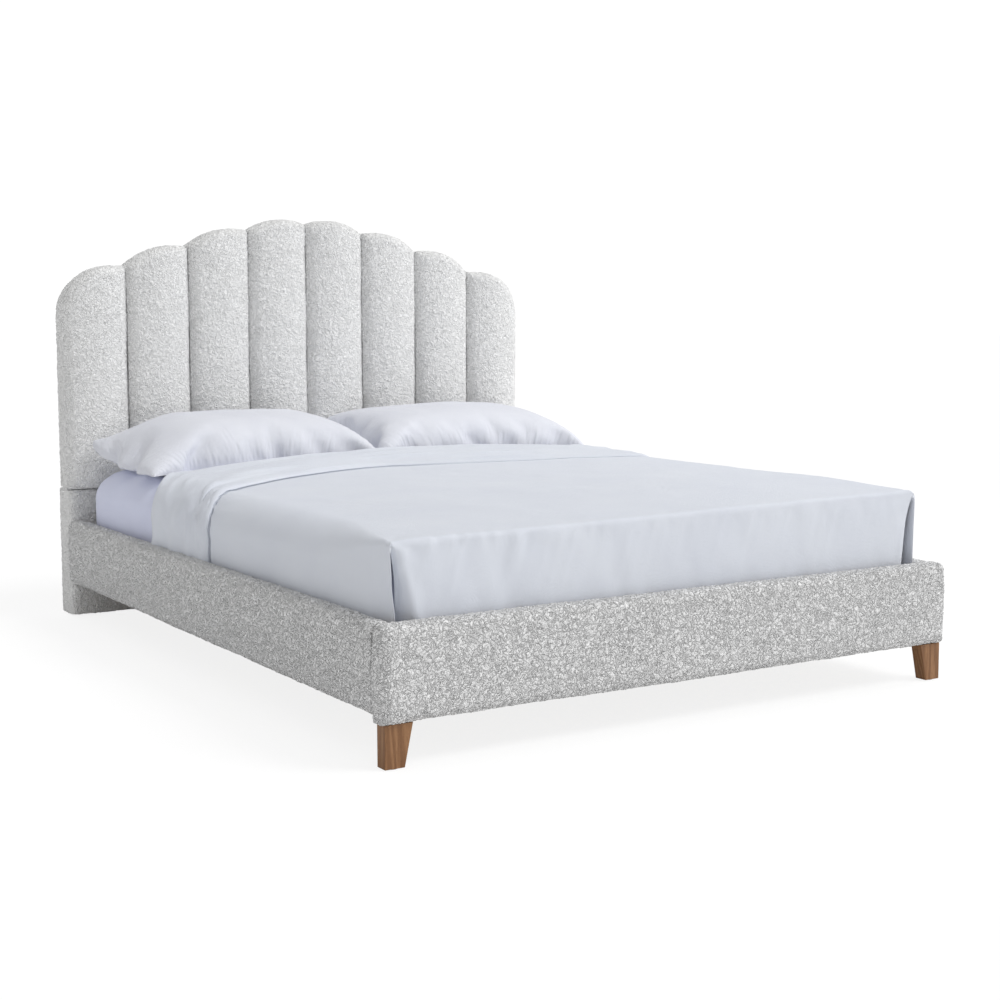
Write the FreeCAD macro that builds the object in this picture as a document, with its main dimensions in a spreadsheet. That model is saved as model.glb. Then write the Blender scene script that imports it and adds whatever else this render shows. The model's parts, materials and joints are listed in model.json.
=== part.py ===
import FreeCAD, Part
import os

import Sketcher

# An upholstered bed with a scalloped, channelled headboard.
# X runs across the bed, Y from the foot (-) to the head (+), Z up. The origin is on the floor, in the middle.
# Every size is a plain number of millimetres on the sheet "Sizes", and every other object reads it from there.

SIZES = [
    # whole bed
    ("bed_width", 1630, "foot rail, end to end"),
    ("bed_length", 2220, "foot rail face to headboard back"),
    # headboard
    ("channel_pitch", 205, "width of one channel, seam to seam"),
    ("channel_gap", 1, "clearance between neighbouring pads"),
    ("headboard_split", 400, "seam between lower panel and upper headboard"),
    ("seam_gap", 2, "clearance along that seam"),
    ("height_outer", 1092, "outline at the outermost seams"),
    ("height_middle", 1157, "outline at the next seams in"),
    ("height_inner", 1213, "outline at the seams beside the centre"),
    ("height_centre", 1237, "outline at the centre seam"),
    ("scallop_rise", 27, "rise of each scallop above its chord"),
    ("shoulder_radius", 152, "rounded outer corners"),
    ("pad_overhang", 35, "channel pads stand this far ahead of the lower panel"),
    ("pad_round", 28, "radius of the pads' front edges"),
    ("lower_width", 1625, "lower panel, side to side"),
    ("lower_depth", 95, "lower panel, front to back"),
    ("lower_foam", 34, "foam and boucle ahead of the lower board"),
    ("lower_side_foam", 18, "foam and boucle on the lower panel's sides"),
    ("band_inset", 12, "edge band in from the pads' outline"),
    ("band_wall", 6, "edge band round the upper board"),
    ("board_thickness", 15, "plywood boards of the headboard"),
    ("cloth_thickness", 2, "back cloth"),
    ("stile_width", 70, "timber posts"),
    ("stile_inset", 24, "posts in from the headboard's sides"),
    ("stile_top", 900, "height of the posts"),
    ("cross_rail_width", 60, "timber rails between the posts"),
    ("cross_rail_low", 60, "lower cross rail above the floor"),
    ("cross_rail_high", 780, "upper cross rail above the floor"),
    ("floor_gap", 5, "upholstery above the floor at the head"),
    ("glide_radius", 17, "nail-on glides under the posts"),
    # rails
    ("rail_top", 306, "top of the side rails and foot rail"),
    ("side_rail_bottom", 106, "underside of the side rails"),
    ("side_rail_depth", 46, "side rail, outside to inside"),
    ("foot_rail_bottom", 96, "underside of the foot rail"),
    ("foot_rail_depth", 57, "foot rail, front to back"),
    ("foot_end_foam", 20, "foam over the foot rail board's ends"),
    ("side_board", 22, "side rail boards"),
    ("foot_board", 30, "foot rail board"),
    ("rail_skin", 12, "foam and boucle over the boards' edges"),
    ("rail_round", 22, "rounded edges of the rails"),
    ("joint_gap", 0.5, "clearance where rails meet other pieces"),
    # corner brackets and bolts
    ("bracket_leg", 60, "bracket, each leg"),
    ("bracket_height", 120, "bracket height"),
    ("bracket_steel", 3, "bracket thickness"),
    ("bracket_bottom", 150, "brackets above the floor"),
    ("bolt_radius", 4, "bolts and hanger bolts"),
    ("bolt_grip", 18, "bolt length in the timber"),
    ("bolt_head", 6.5, "bolt head, centre to corner"),
    ("bolt_head_height", 5, "bolt head thickness"),
    ("bolt_reach", 38, "bolts from the bracket's corner"),
    ("bolt_spread", 70, "between the two bolts of one leg"),
    # front feet
    ("foot_inset_side", 8, "feet in from the foot rail's ends"),
    ("foot_inset_front", 14, "feet in from the foot rail's face"),
    ("foot_top", 67, "width of a foot at the rail"),
    ("foot_bottom", 47, "width of a foot at the floor"),
    ("foot_depth", 36, "feet, front to back"),
    ("felt_thickness", 2, "felt glides"),
    ("felt_radius", 14, "felt glides"),
    ("hanger_grip", 45, "hanger bolt in the foot, and again in the rail"),
    # slat base
    ("slat_top", 240, "top of the slats"),
    ("slat_thickness", 18, "slats"),
    ("slat_width", 70, "slats"),
    ("slat_round", 4, "rounded long edges of the slats"),
    ("slat_end_gap", 3, "slat ends to the side rails"),
    ("slat_margin", 100, "outermost slat centres in from the rail ends"),
    ("ledger_width", 25, "slat ledgers"),
    ("ledger_height", 40, "slat ledgers"),
    ("strap_width", 25, "webbing straps"),
    ("strap_thickness", 1.5, "webbing straps"),
    ("strap_reach", 480, "straps out from the centre"),
    ("beam_width", 45, "centre beam"),
    ("beam_height", 70, "centre beam"),
    ("hanger_steel", 2, "beam hangers"),
    ("hanger_length", 40, "beam hangers along the beam"),
    ("leg_side", 45, "centre legs, square"),
    ("leg_reach", 500, "centre legs from the bed's middle"),
    ("leg_bottom", 24, "centre legs above the floor"),
    ("stem_radius", 5, "leveller stems"),
    ("stem_clearance", 0.06, "round a leveller stem"),
    ("stem_length", 60, "leveller stems"),
    ("disc_radius", 20, "leveller discs"),
    ("disc_height", 6, "leveller discs"),
    # bedding
    ("mattress_width", 1500, "mattress"),
    ("mattress_length", 2000, "mattress"),
    ("mattress_height", 224, "mattress"),
    ("mattress_corner", 100, "mattress corners, seen from above"),
    ("mattress_round", 85, "mattress top edges"),
    ("mattress_base_round", 30, "mattress bottom edges"),
    ("mattress_foot_gap", 80, "foot rail face to mattress"),
    ("rest_gap", 0.5, "clearance under a piece that lifts off"),
    ("sheet_wall", 2, "fitted sheet"),
    ("sheet_bottom", 262, "hem of the fitted sheet"),
    ("duvet_wall", 10, "duvet over the mattress's edges"),
    ("duvet_clearance", 1, "duvet to fitted sheet"),
    ("duvet_bottom", 266, "lower edge of the duvet, between mattress and rail"),
    ("duvet_length", 1544, "duvet from its foot end to its turned-back edge"),
    ("duvet_filling", 28, "raised middle of the duvet"),
    ("duvet_border", 160, "duvet edge to the raised middle"),
    ("pillow_width", 750, "pillows"),
    ("pillow_depth", 460, "pillows"),
    ("pillow_height", 170, "pillows"),
    ("pillow_corner", 90, "pillow corners, seen from above"),
    ("pillow_round", 70, "pillow top and bottom edges"),
    ("pillow_reach", 385, "pillow centres out from the bed's middle"),
    ("pillow_gap", 15, "pillows to the headboard pads"),
]
CHANNELS = 8
SLATS = 14
SEAM_HEIGHTS = ["height_outer", "height_middle", "height_inner", "height_centre"]

# Places that several pieces share, as expressions on the sheet.
FOOT_FACE = "(-Sizes.bed_length / 2)"
HEAD_BACK = "(Sizes.bed_length / 2)"
LOWER_FACE = "(Sizes.bed_length / 2 - Sizes.lower_depth)"
FOOT_BACK = "(-Sizes.bed_length / 2 + Sizes.foot_rail_depth)"
RAIL_INSIDE = "(Sizes.bed_width / 2 - Sizes.side_rail_depth)"
RAIL_MIDDLE = f"(({FOOT_BACK} + {LOWER_FACE}) / 2)"
RAIL_LENGTH = f"({LOWER_FACE} - {FOOT_BACK} - 2 * Sizes.joint_gap)"
TIMBER_FRONT = "(Sizes.bed_length / 2 - Sizes.lower_depth + Sizes.lower_foam + Sizes.board_thickness)"
BOARD_FRONT = f"({TIMBER_FRONT} - Sizes.board_thickness)"
STILE_DEPTH = f"({HEAD_BACK} - Sizes.cloth_thickness - {TIMBER_FRONT})"
PAD_FRONT = f"({LOWER_FACE} - Sizes.pad_overhang)"
HALF_HEADBOARD = f"({CHANNELS} * Sizes.channel_pitch / 2)"
UPPER_BOTTOM = "(Sizes.headboard_split + Sizes.seam_gap)"
INSIDE_BAND = "(Sizes.band_inset + Sizes.band_wall)"
SLAT_BOTTOM = "(Sizes.slat_top - Sizes.slat_thickness)"
MATTRESS_BOTTOM = "(Sizes.slat_top + Sizes.strap_thickness + Sizes.rest_gap)"
MATTRESS_FOOT = f"({FOOT_FACE} + Sizes.mattress_foot_gap)"
MATTRESS_TOP = f"({MATTRESS_BOTTOM} + Sizes.mattress_height)"
DUVET_TOP = f"({MATTRESS_TOP} + Sizes.sheet_wall + Sizes.duvet_clearance + Sizes.duvet_wall)"

UP = FreeCAD.Vector(0, 0, 1)

doc = FreeCAD.newDocument("UpholsteredBed")
sheet = doc.addObject("Spreadsheet::Sheet", "Sizes")
for row, (alias, number, note) in enumerate(SIZES, 1):
    sheet.set(f"A{row}", note)
    sheet.set(f"B{row}", str(number))
    sheet.setAlias(f"B{row}", alias)
doc.recompute()

pieces = []


# ---------------------------------------------------------------- helpers


def keep(thing, label):
    """Labels a finished sub-part and puts it on the list to export."""
    thing.Label = label
    pieces.append(thing)
    return thing


def place(thing, x="0", y="0", z="0", turn=0, about=UP):
    """Puts thing at expressions on the sheet, turned about an axis by degrees."""
    thing.Placement = FreeCAD.Placement(FreeCAD.Vector(), FreeCAD.Rotation(about, turn))
    for axis, text in zip("xyz", (x, y, z)):
        thing.setExpression(f"Placement.Base.{axis}", text)
    return thing


def box(name, x_size, y_size, z_size):
    """A Part::Box with its three sizes on the sheet."""
    solid = doc.addObject("Part::Box", name)
    for side, text in (("Length", x_size), ("Width", y_size), ("Height", z_size)):
        solid.setExpression(side, text)
    return solid


def new_body(label):
    return keep(doc.addObject("PartDesign::Body", label), label)


def sketch_on(body, role, offset="0"):
    """An empty sketch on one of the body's own origin planes, offset along its normal."""
    drawing = body.newObject("Sketcher::SketchObject", "Sketch")
    plane = next(f for f in body.Origin.OriginFeatures if f.Role == role)
    drawing.AttachmentSupport = [(plane, "")]
    drawing.MapMode = "FlatFace"
    drawing.setExpression("AttachmentOffset.Base.z", offset)
    return drawing


def tie(drawing, kind, *where, text):
    """A dimension in a sketch that follows an expression."""
    number = drawing.addConstraint(Sketcher.Constraint(kind, *where, drawing.evalExpression(text)))
    drawing.setExpression(f"Constraints[{number}]", text)


def outline(drawing, corners, rises=None):
    """A closed outline, anticlockwise through corners given as expressions.

    rises maps an edge's number to the height of its arc above the chord; other edges are straight.
    """
    rises = rises or {}
    points = [FreeCAD.Vector(*(drawing.evalExpression(t) for t in corner), 0) for corner in corners]
    for i, start in enumerate(points):
        end = points[(i + 1) % len(points)]
        if i in rises:
            along = end - start
            outward = FreeCAD.Vector(along.y, -along.x, 0).normalize()
            crest = (start + end) / 2 + outward * drawing.evalExpression(rises[i])
            drawing.addGeometry(Part.Arc(start, crest, end))
        else:
            drawing.addGeometry(Part.LineSegment(start, end))
    for i, (x, y) in enumerate(corners):
        drawing.addConstraint(Sketcher.Constraint("Coincident", i - 1 if i else len(corners) - 1, 2, i, 1))
        tie(drawing, "DistanceX", -1, 1, i, 1, text=x)
        tie(drawing, "DistanceY", -1, 1, i, 1, text=y)
    for i, rise in rises.items():
        (x1, y1), (x2, y2) = corners[i], corners[(i + 1) % len(corners)]
        chord_squared = f"((({x2}) - ({x1}))^2 + (({y2}) - ({y1}))^2)"
        tie(drawing, "Radius", i, text=f"{chord_squared} / (8 * {rise}) + {rise} / 2")


def rectangle(drawing, x1, y1, x2, y2):
    outline(drawing, [(x1, y1), (x2, y1), (x2, y2), (x1, y2)])


def circles(drawing, centres, radius):
    for i, (x, y) in enumerate(centres):
        middle = FreeCAD.Vector(drawing.evalExpression(x), drawing.evalExpression(y), 0)
        drawing.addGeometry(Part.Circle(middle, UP, drawing.evalExpression(radius)))
        tie(drawing, "DistanceX", -1, 1, i, 3, text=x)
        tie(drawing, "DistanceY", -1, 1, i, 3, text=y)
        tie(drawing, "Radius", i, text=radius)


def pad(body, drawing, length, backwards=False, symmetric=False):
    feature = body.newObject("PartDesign::Pad", "Pad")
    feature.Profile = drawing
    feature.setExpression("Length", length)
    feature.Reversed = backwards
    feature.SideType = "Symmetric" if symmetric else "One side"
    return feature


def pocket(body, drawing, length, backwards=False, symmetric=False):
    """Cuts drawing out of the body, and fails if that removes nothing."""
    doc.recompute()
    before = body.Shape.Volume
    feature = body.newObject("PartDesign::Pocket", "Pocket")
    feature.Profile = drawing
    feature.setExpression("Length", length)
    feature.Reversed = backwards
    feature.SideType = "Symmetric" if symmetric else "One side"
    doc.recompute()
    assert body.Shape.Volume < before - 1, f"a pocket in {body.Label} cuts nothing"
    return feature


def drill(body, role, centres, radius, length, offset="0", backwards=False, symmetric=False):
    drawing = sketch_on(body, role, offset)
    circles(drawing, centres, radius)
    return pocket(body, drawing, length, backwards, symmetric)


def fillet(body, radius, chosen):
    """Rounds every edge of the body's last feature for which chosen(edge's box) is true."""
    doc.recompute()
    base = body.Tip
    names = [f"Edge{i}" for i, edge in enumerate(base.Shape.Edges, 1) if chosen(edge.BoundBox)]
    assert names, f"no edge to round on {body.Label}"
    feature = body.newObject("PartDesign::Fillet", "Fillet")
    feature.Base = (base, names)
    feature.setExpression("Radius", radius)
    return feature


def near(one, other):
    return abs(one - other) < 0.01


def size(text):
    """The present value of an expression on the sheet."""
    return doc.getObject("Sizes").evalExpression(text.replace("Sizes.", ""))


# ---------------------------------------------------------------- headboard


def seam_height(seam):
    """The outline's height at a seam, counted from 1 on the left to 7 on the right."""
    return f"Sizes.{SEAM_HEIGHTS[min(seam, CHANNELS - seam) - 1]}"


def seam_place(seam):
    return f"({seam - CHANNELS // 2} * Sizes.channel_pitch)"


def shoulder(side, edge, inset="0"):
    """Both ends of an outer corner's quarter circle, which starts on the straight side at edge."""
    top = f"(Sizes.height_outer - {UPPER_BOTTOM})"
    return [
        (f"({side} * ({edge} - {inset}))", f"({top} - Sizes.shoulder_radius)"),
        (f"({side} * ({edge} - Sizes.shoulder_radius))", f"({top} - {inset})"),
    ]


def shoulder_rise(inset="0"):
    """How far that quarter circle rises above its chord."""
    return f"((Sizes.shoulder_radius - {inset}) * (1 - sqrt(0.5)))"


def headboard_outline(drawing, inset):
    """The whole scalloped outline, drawn from its own bottom edge."""
    right = shoulder(1, HALF_HEADBOARD, inset)
    left = shoulder(-1, HALF_HEADBOARD, inset)
    seams = [
        (seam_place(seam), f"({seam_height(seam)} - {inset} - {UPPER_BOTTOM})")
        for seam in range(CHANNELS - 1, 0, -1)
    ]
    base = [(f"(-({HALF_HEADBOARD} - {inset}))", "0"), (f"({HALF_HEADBOARD} - {inset})", "0")]
    corners = base + right + seams + left[::-1]
    first_arc = len(base)
    rises = {first_arc: shoulder_rise(inset), first_arc + CHANNELS + 1: shoulder_rise(inset)}
    for scallop in range(CHANNELS - 2):
        rises[first_arc + 2 + scallop] = "Sizes.scallop_rise"
    outline(drawing, corners, rises)


def scalloped_plate(label, inset, thickness, back):
    """A plate with the headboard's outline, its back face at the expression back."""
    body = new_body(label)
    drawing = sketch_on(body, "XZ_Plane")
    headboard_outline(drawing, inset)
    pad(body, drawing, thickness)
    place(body, y=back, z=UPPER_BOTTOM)
    return body


def channel_pad(number):
    """One upholstered channel of the left half. Its origin is at the bottom of its back, in the middle."""
    middle = f"({number - (CHANNELS + 1) / 2} * Sizes.channel_pitch)"
    half = "(Sizes.channel_pitch / 2 - Sizes.channel_gap / 2)"
    body = new_body(f"channel_pad_{number}")
    drawing = sketch_on(body, "XZ_Plane")
    inner_top = (half, f"({seam_height(number)} - {UPPER_BOTTOM})")
    corners = [(f"(-{half})", "0"), (half, "0"), inner_top]
    if number == 1:
        outline(drawing, corners + shoulder(-1, half)[::-1], {3: shoulder_rise()})
    else:
        outer_top = (f"(-{half})", f"({seam_height(number - 1)} - {UPPER_BOTTOM})")
        outline(drawing, corners + [outer_top], {2: "Sizes.scallop_rise"})
    depth = f"({BOARD_FRONT} - {PAD_FRONT})"
    pad(body, drawing, depth)
    front = -size(depth)
    fillet(body, "Sizes.pad_round", lambda edge: near(edge.YMin, front) and near(edge.YMax, front))
    return place(body, x=middle, y=BOARD_FRONT, z=UPPER_BOTTOM)


def mirrored_pad(body, number):
    """The same channel on the right half."""
    twin = keep(doc.addObject("Part::Mirroring", "Twin"), f"channel_pad_{number}")
    twin.Source = body
    twin.Normal = FreeCAD.Vector(1, 0, 0)


def headboard_edge_band():
    """The boucle band that wraps the upper board and posts, from the pads to the back cloth."""
    body = new_body("headboard_edge_band")
    depth = f"({HEAD_BACK} - {BOARD_FRONT})"
    outside = sketch_on(body, "XZ_Plane")
    headboard_outline(outside, "Sizes.band_inset")
    pad(body, outside, depth)
    inside = sketch_on(body, "XZ_Plane")
    headboard_outline(inside, INSIDE_BAND)
    pocket(body, inside, depth, backwards=True)
    place(body, y=HEAD_BACK, z=UPPER_BOTTOM)


def upper_headboard():
    for number in range(1, CHANNELS // 2 + 1):
        mirrored_pad(channel_pad(number), CHANNELS + 1 - number)
    scalloped_plate("headboard_board", INSIDE_BAND, "Sizes.board_thickness", TIMBER_FRONT)
    scalloped_plate("headboard_back_cloth", INSIDE_BAND, "Sizes.cloth_thickness", HEAD_BACK)
    headboard_edge_band()


def headboard_frame():
    """Two posts from the floor glides up behind the boards, and two cross rails between them."""
    bolts = "(Sizes.bracket_bottom + Sizes.bracket_height / 2 - Sizes.floor_gap)"
    stile_edge = "(Sizes.lower_width / 2 - Sizes.stile_inset)"
    reach = f"({RAIL_INSIDE} - Sizes.bolt_reach)"
    stile_middle = f"({stile_edge} - Sizes.stile_width / 2)"
    for side, name in ((-1, "left"), (1, "right")):
        body = new_body(f"headboard_stile_{name}")
        drawing = sketch_on(body, "XY_Plane")
        rectangle(drawing, "(-Sizes.stile_width / 2)", "0", "(Sizes.stile_width / 2)", STILE_DEPTH)
        pad(body, drawing, "(Sizes.stile_top - Sizes.floor_gap)")
        across = f"({side} * ({reach} - {stile_middle}))"
        centres = [(across, f"({bolts} + {end} * Sizes.bolt_spread / 2)") for end in (-1, 1)]
        drill(body, "XZ_Plane", centres, "Sizes.bolt_radius", STILE_DEPTH)
        place(body, f"({side} * {stile_middle})", TIMBER_FRONT, "Sizes.floor_gap")
    for name, height in (("lower", "Sizes.cross_rail_low"), ("upper", "Sizes.cross_rail_high")):
        length = f"(2 * ({stile_edge} - Sizes.stile_width))"
        rail = keep(box("CrossRail", length, STILE_DEPTH, "Sizes.cross_rail_width"), f"headboard_rail_{name}")
        place(rail, f"(-{length} / 2)", TIMBER_FRONT, height)


def lower_panel():
    """The upholstered lower headboard: board, cover round its front and sides, cloth on its back."""
    height = "(Sizes.headboard_split - Sizes.floor_gap)"
    half = "(Sizes.lower_width / 2)"
    inner = f"({half} - Sizes.lower_side_foam)"
    board_face = "(Sizes.lower_foam - Sizes.lower_depth)"
    cover = new_body("lower_panel_cover")
    drawing = sketch_on(cover, "XY_Plane")
    outline(drawing, [
        (f"(-{half})", "(-Sizes.lower_depth)"),
        (half, "(-Sizes.lower_depth)"),
        (half, "0"),
        (inner, "0"),
        (inner, board_face),
        (f"(-{inner})", board_face),
        (f"(-{inner})", "0"),
        (f"(-{half})", "0"),
    ])
    pad(cover, drawing, height)
    front, edge = -size("Sizes.lower_depth"), size(half)
    fillet(cover, "Sizes.rail_round", lambda e: near(e.YMin, front) and near(e.YMax, front)
           and near(abs(e.XMin), edge) and near(e.XMin, e.XMax))
    bolts = "(Sizes.bracket_bottom + Sizes.bracket_height / 2 - Sizes.floor_gap)"
    across = f"({RAIL_INSIDE} - Sizes.bolt_reach)"
    centres = [(f"({side} * {across})", f"({bolts} + {end} * Sizes.bolt_spread / 2)")
               for side in (-1, 1) for end in (-1, 1)]
    drill(cover, "XZ_Plane", centres, "Sizes.bolt_radius", "(2 * Sizes.lower_depth)", symmetric=True)
    place(cover, y=HEAD_BACK, z="Sizes.floor_gap")

    board = new_body("lower_panel_board")
    drawing = sketch_on(board, "XZ_Plane")
    rectangle(drawing, f"(-({inner} - Sizes.joint_gap))", "0", f"({inner} - Sizes.joint_gap)", height)
    pad(board, drawing, "Sizes.board_thickness")
    drill(board, "XZ_Plane", centres, "Sizes.bolt_radius", "(2 * Sizes.board_thickness)", symmetric=True)
    place(board, y=TIMBER_FRONT, z="Sizes.floor_gap")

    cloth = keep(box("Cloth", f"(2 * {inner} - 2 * Sizes.joint_gap)", "Sizes.cloth_thickness",
                     f"({height} - 15)"), "lower_back_cloth")
    place(cloth, f"(-({inner} - Sizes.joint_gap))", f"({HEAD_BACK} - Sizes.cloth_thickness)",
          "(Sizes.floor_gap + 15)")


def headboard_glides():
    """A round glide under each post."""
    glides = []
    for side in (-1, 1):
        glide = doc.addObject("Part::Cylinder", "HeadGlide")
        glide.setExpression("Radius", "Sizes.glide_radius")
        glide.setExpression("Height", "Sizes.floor_gap")
        stile_middle = "(Sizes.lower_width / 2 - Sizes.stile_inset - Sizes.stile_width / 2)"
        place(glide, f"({side} * {stile_middle})", f"({TIMBER_FRONT} + {STILE_DEPTH} / 2)")
        glides.append(glide)
    group("headboard_glides", glides)


# ---------------------------------------------------------------- rails


def group(label, solids):
    """Identical small pieces that share one node."""
    compound = doc.addObject("Part::Compound", "Group")
    compound.Links = solids
    return keep(compound, label)


def side_rails():
    """Each rail is a board in a channel of foam and boucle. The left one is the right one turned round."""
    height = "(Sizes.rail_top - Sizes.side_rail_bottom)"
    top_of_board = f"({height} - Sizes.rail_skin)"
    bolts = "(Sizes.bracket_bottom + Sizes.bracket_height / 2 - Sizes.side_rail_bottom)"
    centres = [(f"({end} * ({RAIL_LENGTH} / 2 + Sizes.joint_gap - Sizes.bolt_reach))",
                f"({bolts} + {level} * Sizes.bolt_spread / 2)") for end in (-1, 1) for level in (-1, 1)]
    for turn, name in ((180, "left"), (0, "right")):
        inside = RAIL_INSIDE if turn == 0 else f"(-{RAIL_INSIDE})"
        cover = new_body(f"side_rail_cover_{name}")
        drawing = sketch_on(cover, "XZ_Plane")
        outline(drawing, [
            ("0", "0"),
            ("Sizes.side_rail_depth", "0"),
            ("Sizes.side_rail_depth", height),
            ("0", height),
            ("0", top_of_board),
            ("Sizes.side_board", top_of_board),
            ("Sizes.side_board", "Sizes.rail_skin"),
            ("0", "Sizes.rail_skin"),
        ])
        pad(cover, drawing, RAIL_LENGTH, symmetric=True)
        outside, top = size("Sizes.side_rail_depth"), size(height)
        fillet(cover, "Sizes.rail_round", lambda e: near(e.XMin, outside) and near(e.XMax, outside)
               and near(e.ZMin, e.ZMax))
        fillet(cover, "(Sizes.rail_skin * 0.8)", lambda e: near(e.XMax, 0) and near(e.ZMin, top)
               and near(e.ZMax, top) and near(e.XMin, 0))
        place(cover, inside, RAIL_MIDDLE, "Sizes.side_rail_bottom", turn)

        board = new_body(f"side_rail_board_{name}")
        drawing = sketch_on(board, "XZ_Plane")
        rectangle(drawing, "0", "Sizes.rail_skin", "Sizes.side_board", top_of_board)
        pad(board, drawing, RAIL_LENGTH, symmetric=True)
        drill(board, "YZ_Plane", centres, "Sizes.bolt_radius", "(2 * Sizes.side_board)", symmetric=True)
        place(board, inside, RAIL_MIDDLE, "Sizes.side_rail_bottom", turn)


def foot_rail():
    """The foot rail's cover wraps the front, top, bottom and ends of its board, and is open at the back."""
    height = "(Sizes.rail_top - Sizes.foot_rail_bottom)"
    half = "(Sizes.bed_width / 2)"
    board_half = f"({half} - Sizes.foot_end_foam)"
    hanger_x = "(Sizes.bed_width / 2 - Sizes.foot_inset_side - Sizes.foot_top / 2)"
    hanger_y = "(Sizes.foot_rail_depth - Sizes.foot_inset_front - Sizes.foot_depth / 2)"
    hangers = [(f"({side} * {hanger_x})", f"(-{hanger_y})") for side in (-1, 1)]
    cover = new_body("foot_rail_cover")
    drawing = sketch_on(cover, "YZ_Plane")
    rectangle(drawing, "(-Sizes.foot_rail_depth)", "0", "0", height)
    pad(cover, drawing, "Sizes.bed_width", symmetric=True)
    recess = sketch_on(cover, "XZ_Plane")
    rectangle(recess, f"(-{board_half})", "Sizes.rail_skin", board_half, f"({height} - Sizes.rail_skin)")
    pocket(cover, recess, "Sizes.foot_board", backwards=True)
    front, edge, top = -size("Sizes.foot_rail_depth"), size(half), size(height)
    fillet(cover, "Sizes.rail_round", lambda e: near(e.YMin, front) and near(e.YMax, front))
    fillet(cover, "(Sizes.rail_round * 0.7)", lambda e: near(e.ZMin, top) and near(e.ZMax, top)
           and near(abs(e.XMin), edge) and near(e.XMin, e.XMax))
    drill(cover, "XY_Plane", hangers, "Sizes.bolt_radius", "Sizes.rail_skin", backwards=True)
    place(cover, y=FOOT_BACK, z="Sizes.foot_rail_bottom")

    board = new_body("foot_rail_board")
    drawing = sketch_on(board, "YZ_Plane")
    rectangle(drawing, "(-Sizes.foot_board)", "Sizes.rail_skin", "0", f"({height} - Sizes.rail_skin)")
    pad(board, drawing, f"(2 * {board_half})", symmetric=True)
    bolts = "(Sizes.bracket_bottom + Sizes.bracket_height / 2 - Sizes.foot_rail_bottom)"
    across = f"({RAIL_INSIDE} - Sizes.bolt_reach)"
    centres = [(f"({side} * {across})", f"({bolts} + {level} * Sizes.bolt_spread / 2)")
               for side in (-1, 1) for level in (-1, 1)]
    drill(board, "XZ_Plane", centres, "Sizes.bolt_radius", "(2 * Sizes.foot_board)", symmetric=True)
    drill(board, "XY_Plane", hangers, "Sizes.bolt_radius", "(Sizes.rail_skin + Sizes.hanger_grip)",
          backwards=True)
    place(board, y=FOOT_BACK, z="Sizes.foot_rail_bottom")


def corner_brackets():
    """Four equal angle brackets, each in its corner between a side rail and the foot rail or headboard."""
    corners = [(-1, FOOT_BACK, 0), (1, FOOT_BACK, 90), (1, LOWER_FACE, 180), (-1, LOWER_FACE, 270)]
    leg, steel = "Sizes.bracket_leg", "Sizes.bracket_steel"
    levels = [f"(Sizes.bracket_height / 2 + {level} * Sizes.bolt_spread / 2)" for level in (-1, 1)]
    brackets, bolts = [], []
    for side, wall, turn in corners:
        body = doc.addObject("PartDesign::Body", "Bracket")
        drawing = sketch_on(body, "XY_Plane")
        outline(drawing, [("0", "0"), (leg, "0"), (leg, steel), (steel, steel), (steel, leg), ("0", leg)])
        pad(body, drawing, "Sizes.bracket_height")
        holes = [("Sizes.bolt_reach", level) for level in levels]
        drill(body, "XZ_Plane", holes, "Sizes.bolt_radius", f"(3 * {steel})", symmetric=True)
        drill(body, "YZ_Plane", holes, "Sizes.bolt_radius", f"(3 * {steel})", symmetric=True)
        brackets.append(place(body, f"({side} * {RAIL_INSIDE})", wall, "Sizes.bracket_bottom", turn))
        inward_x, inward_y = -side, (1 if wall == FOOT_BACK else -1)
        for level in levels:
            height = f"(Sizes.bracket_bottom + {level})"
            along_x = (f"({side} * ({RAIL_INSIDE} - {steel}))", f"({wall} + {inward_y} * Sizes.bolt_reach)")
            along_y = (f"({side} * ({RAIL_INSIDE} - Sizes.bolt_reach))", f"({wall} + {inward_y} * {steel})")
            bolts.append(bolt(*along_x, height, FreeCAD.Vector(inward_x, 0, 0)))
            bolts.append(bolt(*along_y, height, FreeCAD.Vector(0, inward_y, 0)))
    group("corner_brackets", brackets)
    group("bracket_bolts", bolts)


def bolt(x, y, z, outward):
    """A hexagon bolt: its head stands outward from (x, y, z), its shank runs the other way."""
    shank = doc.addObject("Part::Cylinder", "Shank")
    shank.setExpression("Radius", "Sizes.bolt_radius")
    shank.setExpression("Height", "(Sizes.bolt_grip + Sizes.bracket_steel)")
    shank.setExpression("Placement.Base.z", "(-Sizes.bolt_grip - Sizes.bracket_steel)")
    head = doc.addObject("Part::Prism", "Head")
    head.Polygon = 6
    head.setExpression("Circumradius", "Sizes.bolt_head")
    head.setExpression("Height", "Sizes.bolt_head_height")
    whole = doc.addObject("Part::Fuse", "Bolt")
    whole.Base, whole.Tool = head, shank
    place(whole, x, y, z)
    whole.Placement.Rotation = FreeCAD.Rotation(UP, outward)
    return whole


# ---------------------------------------------------------------- feet


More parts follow.
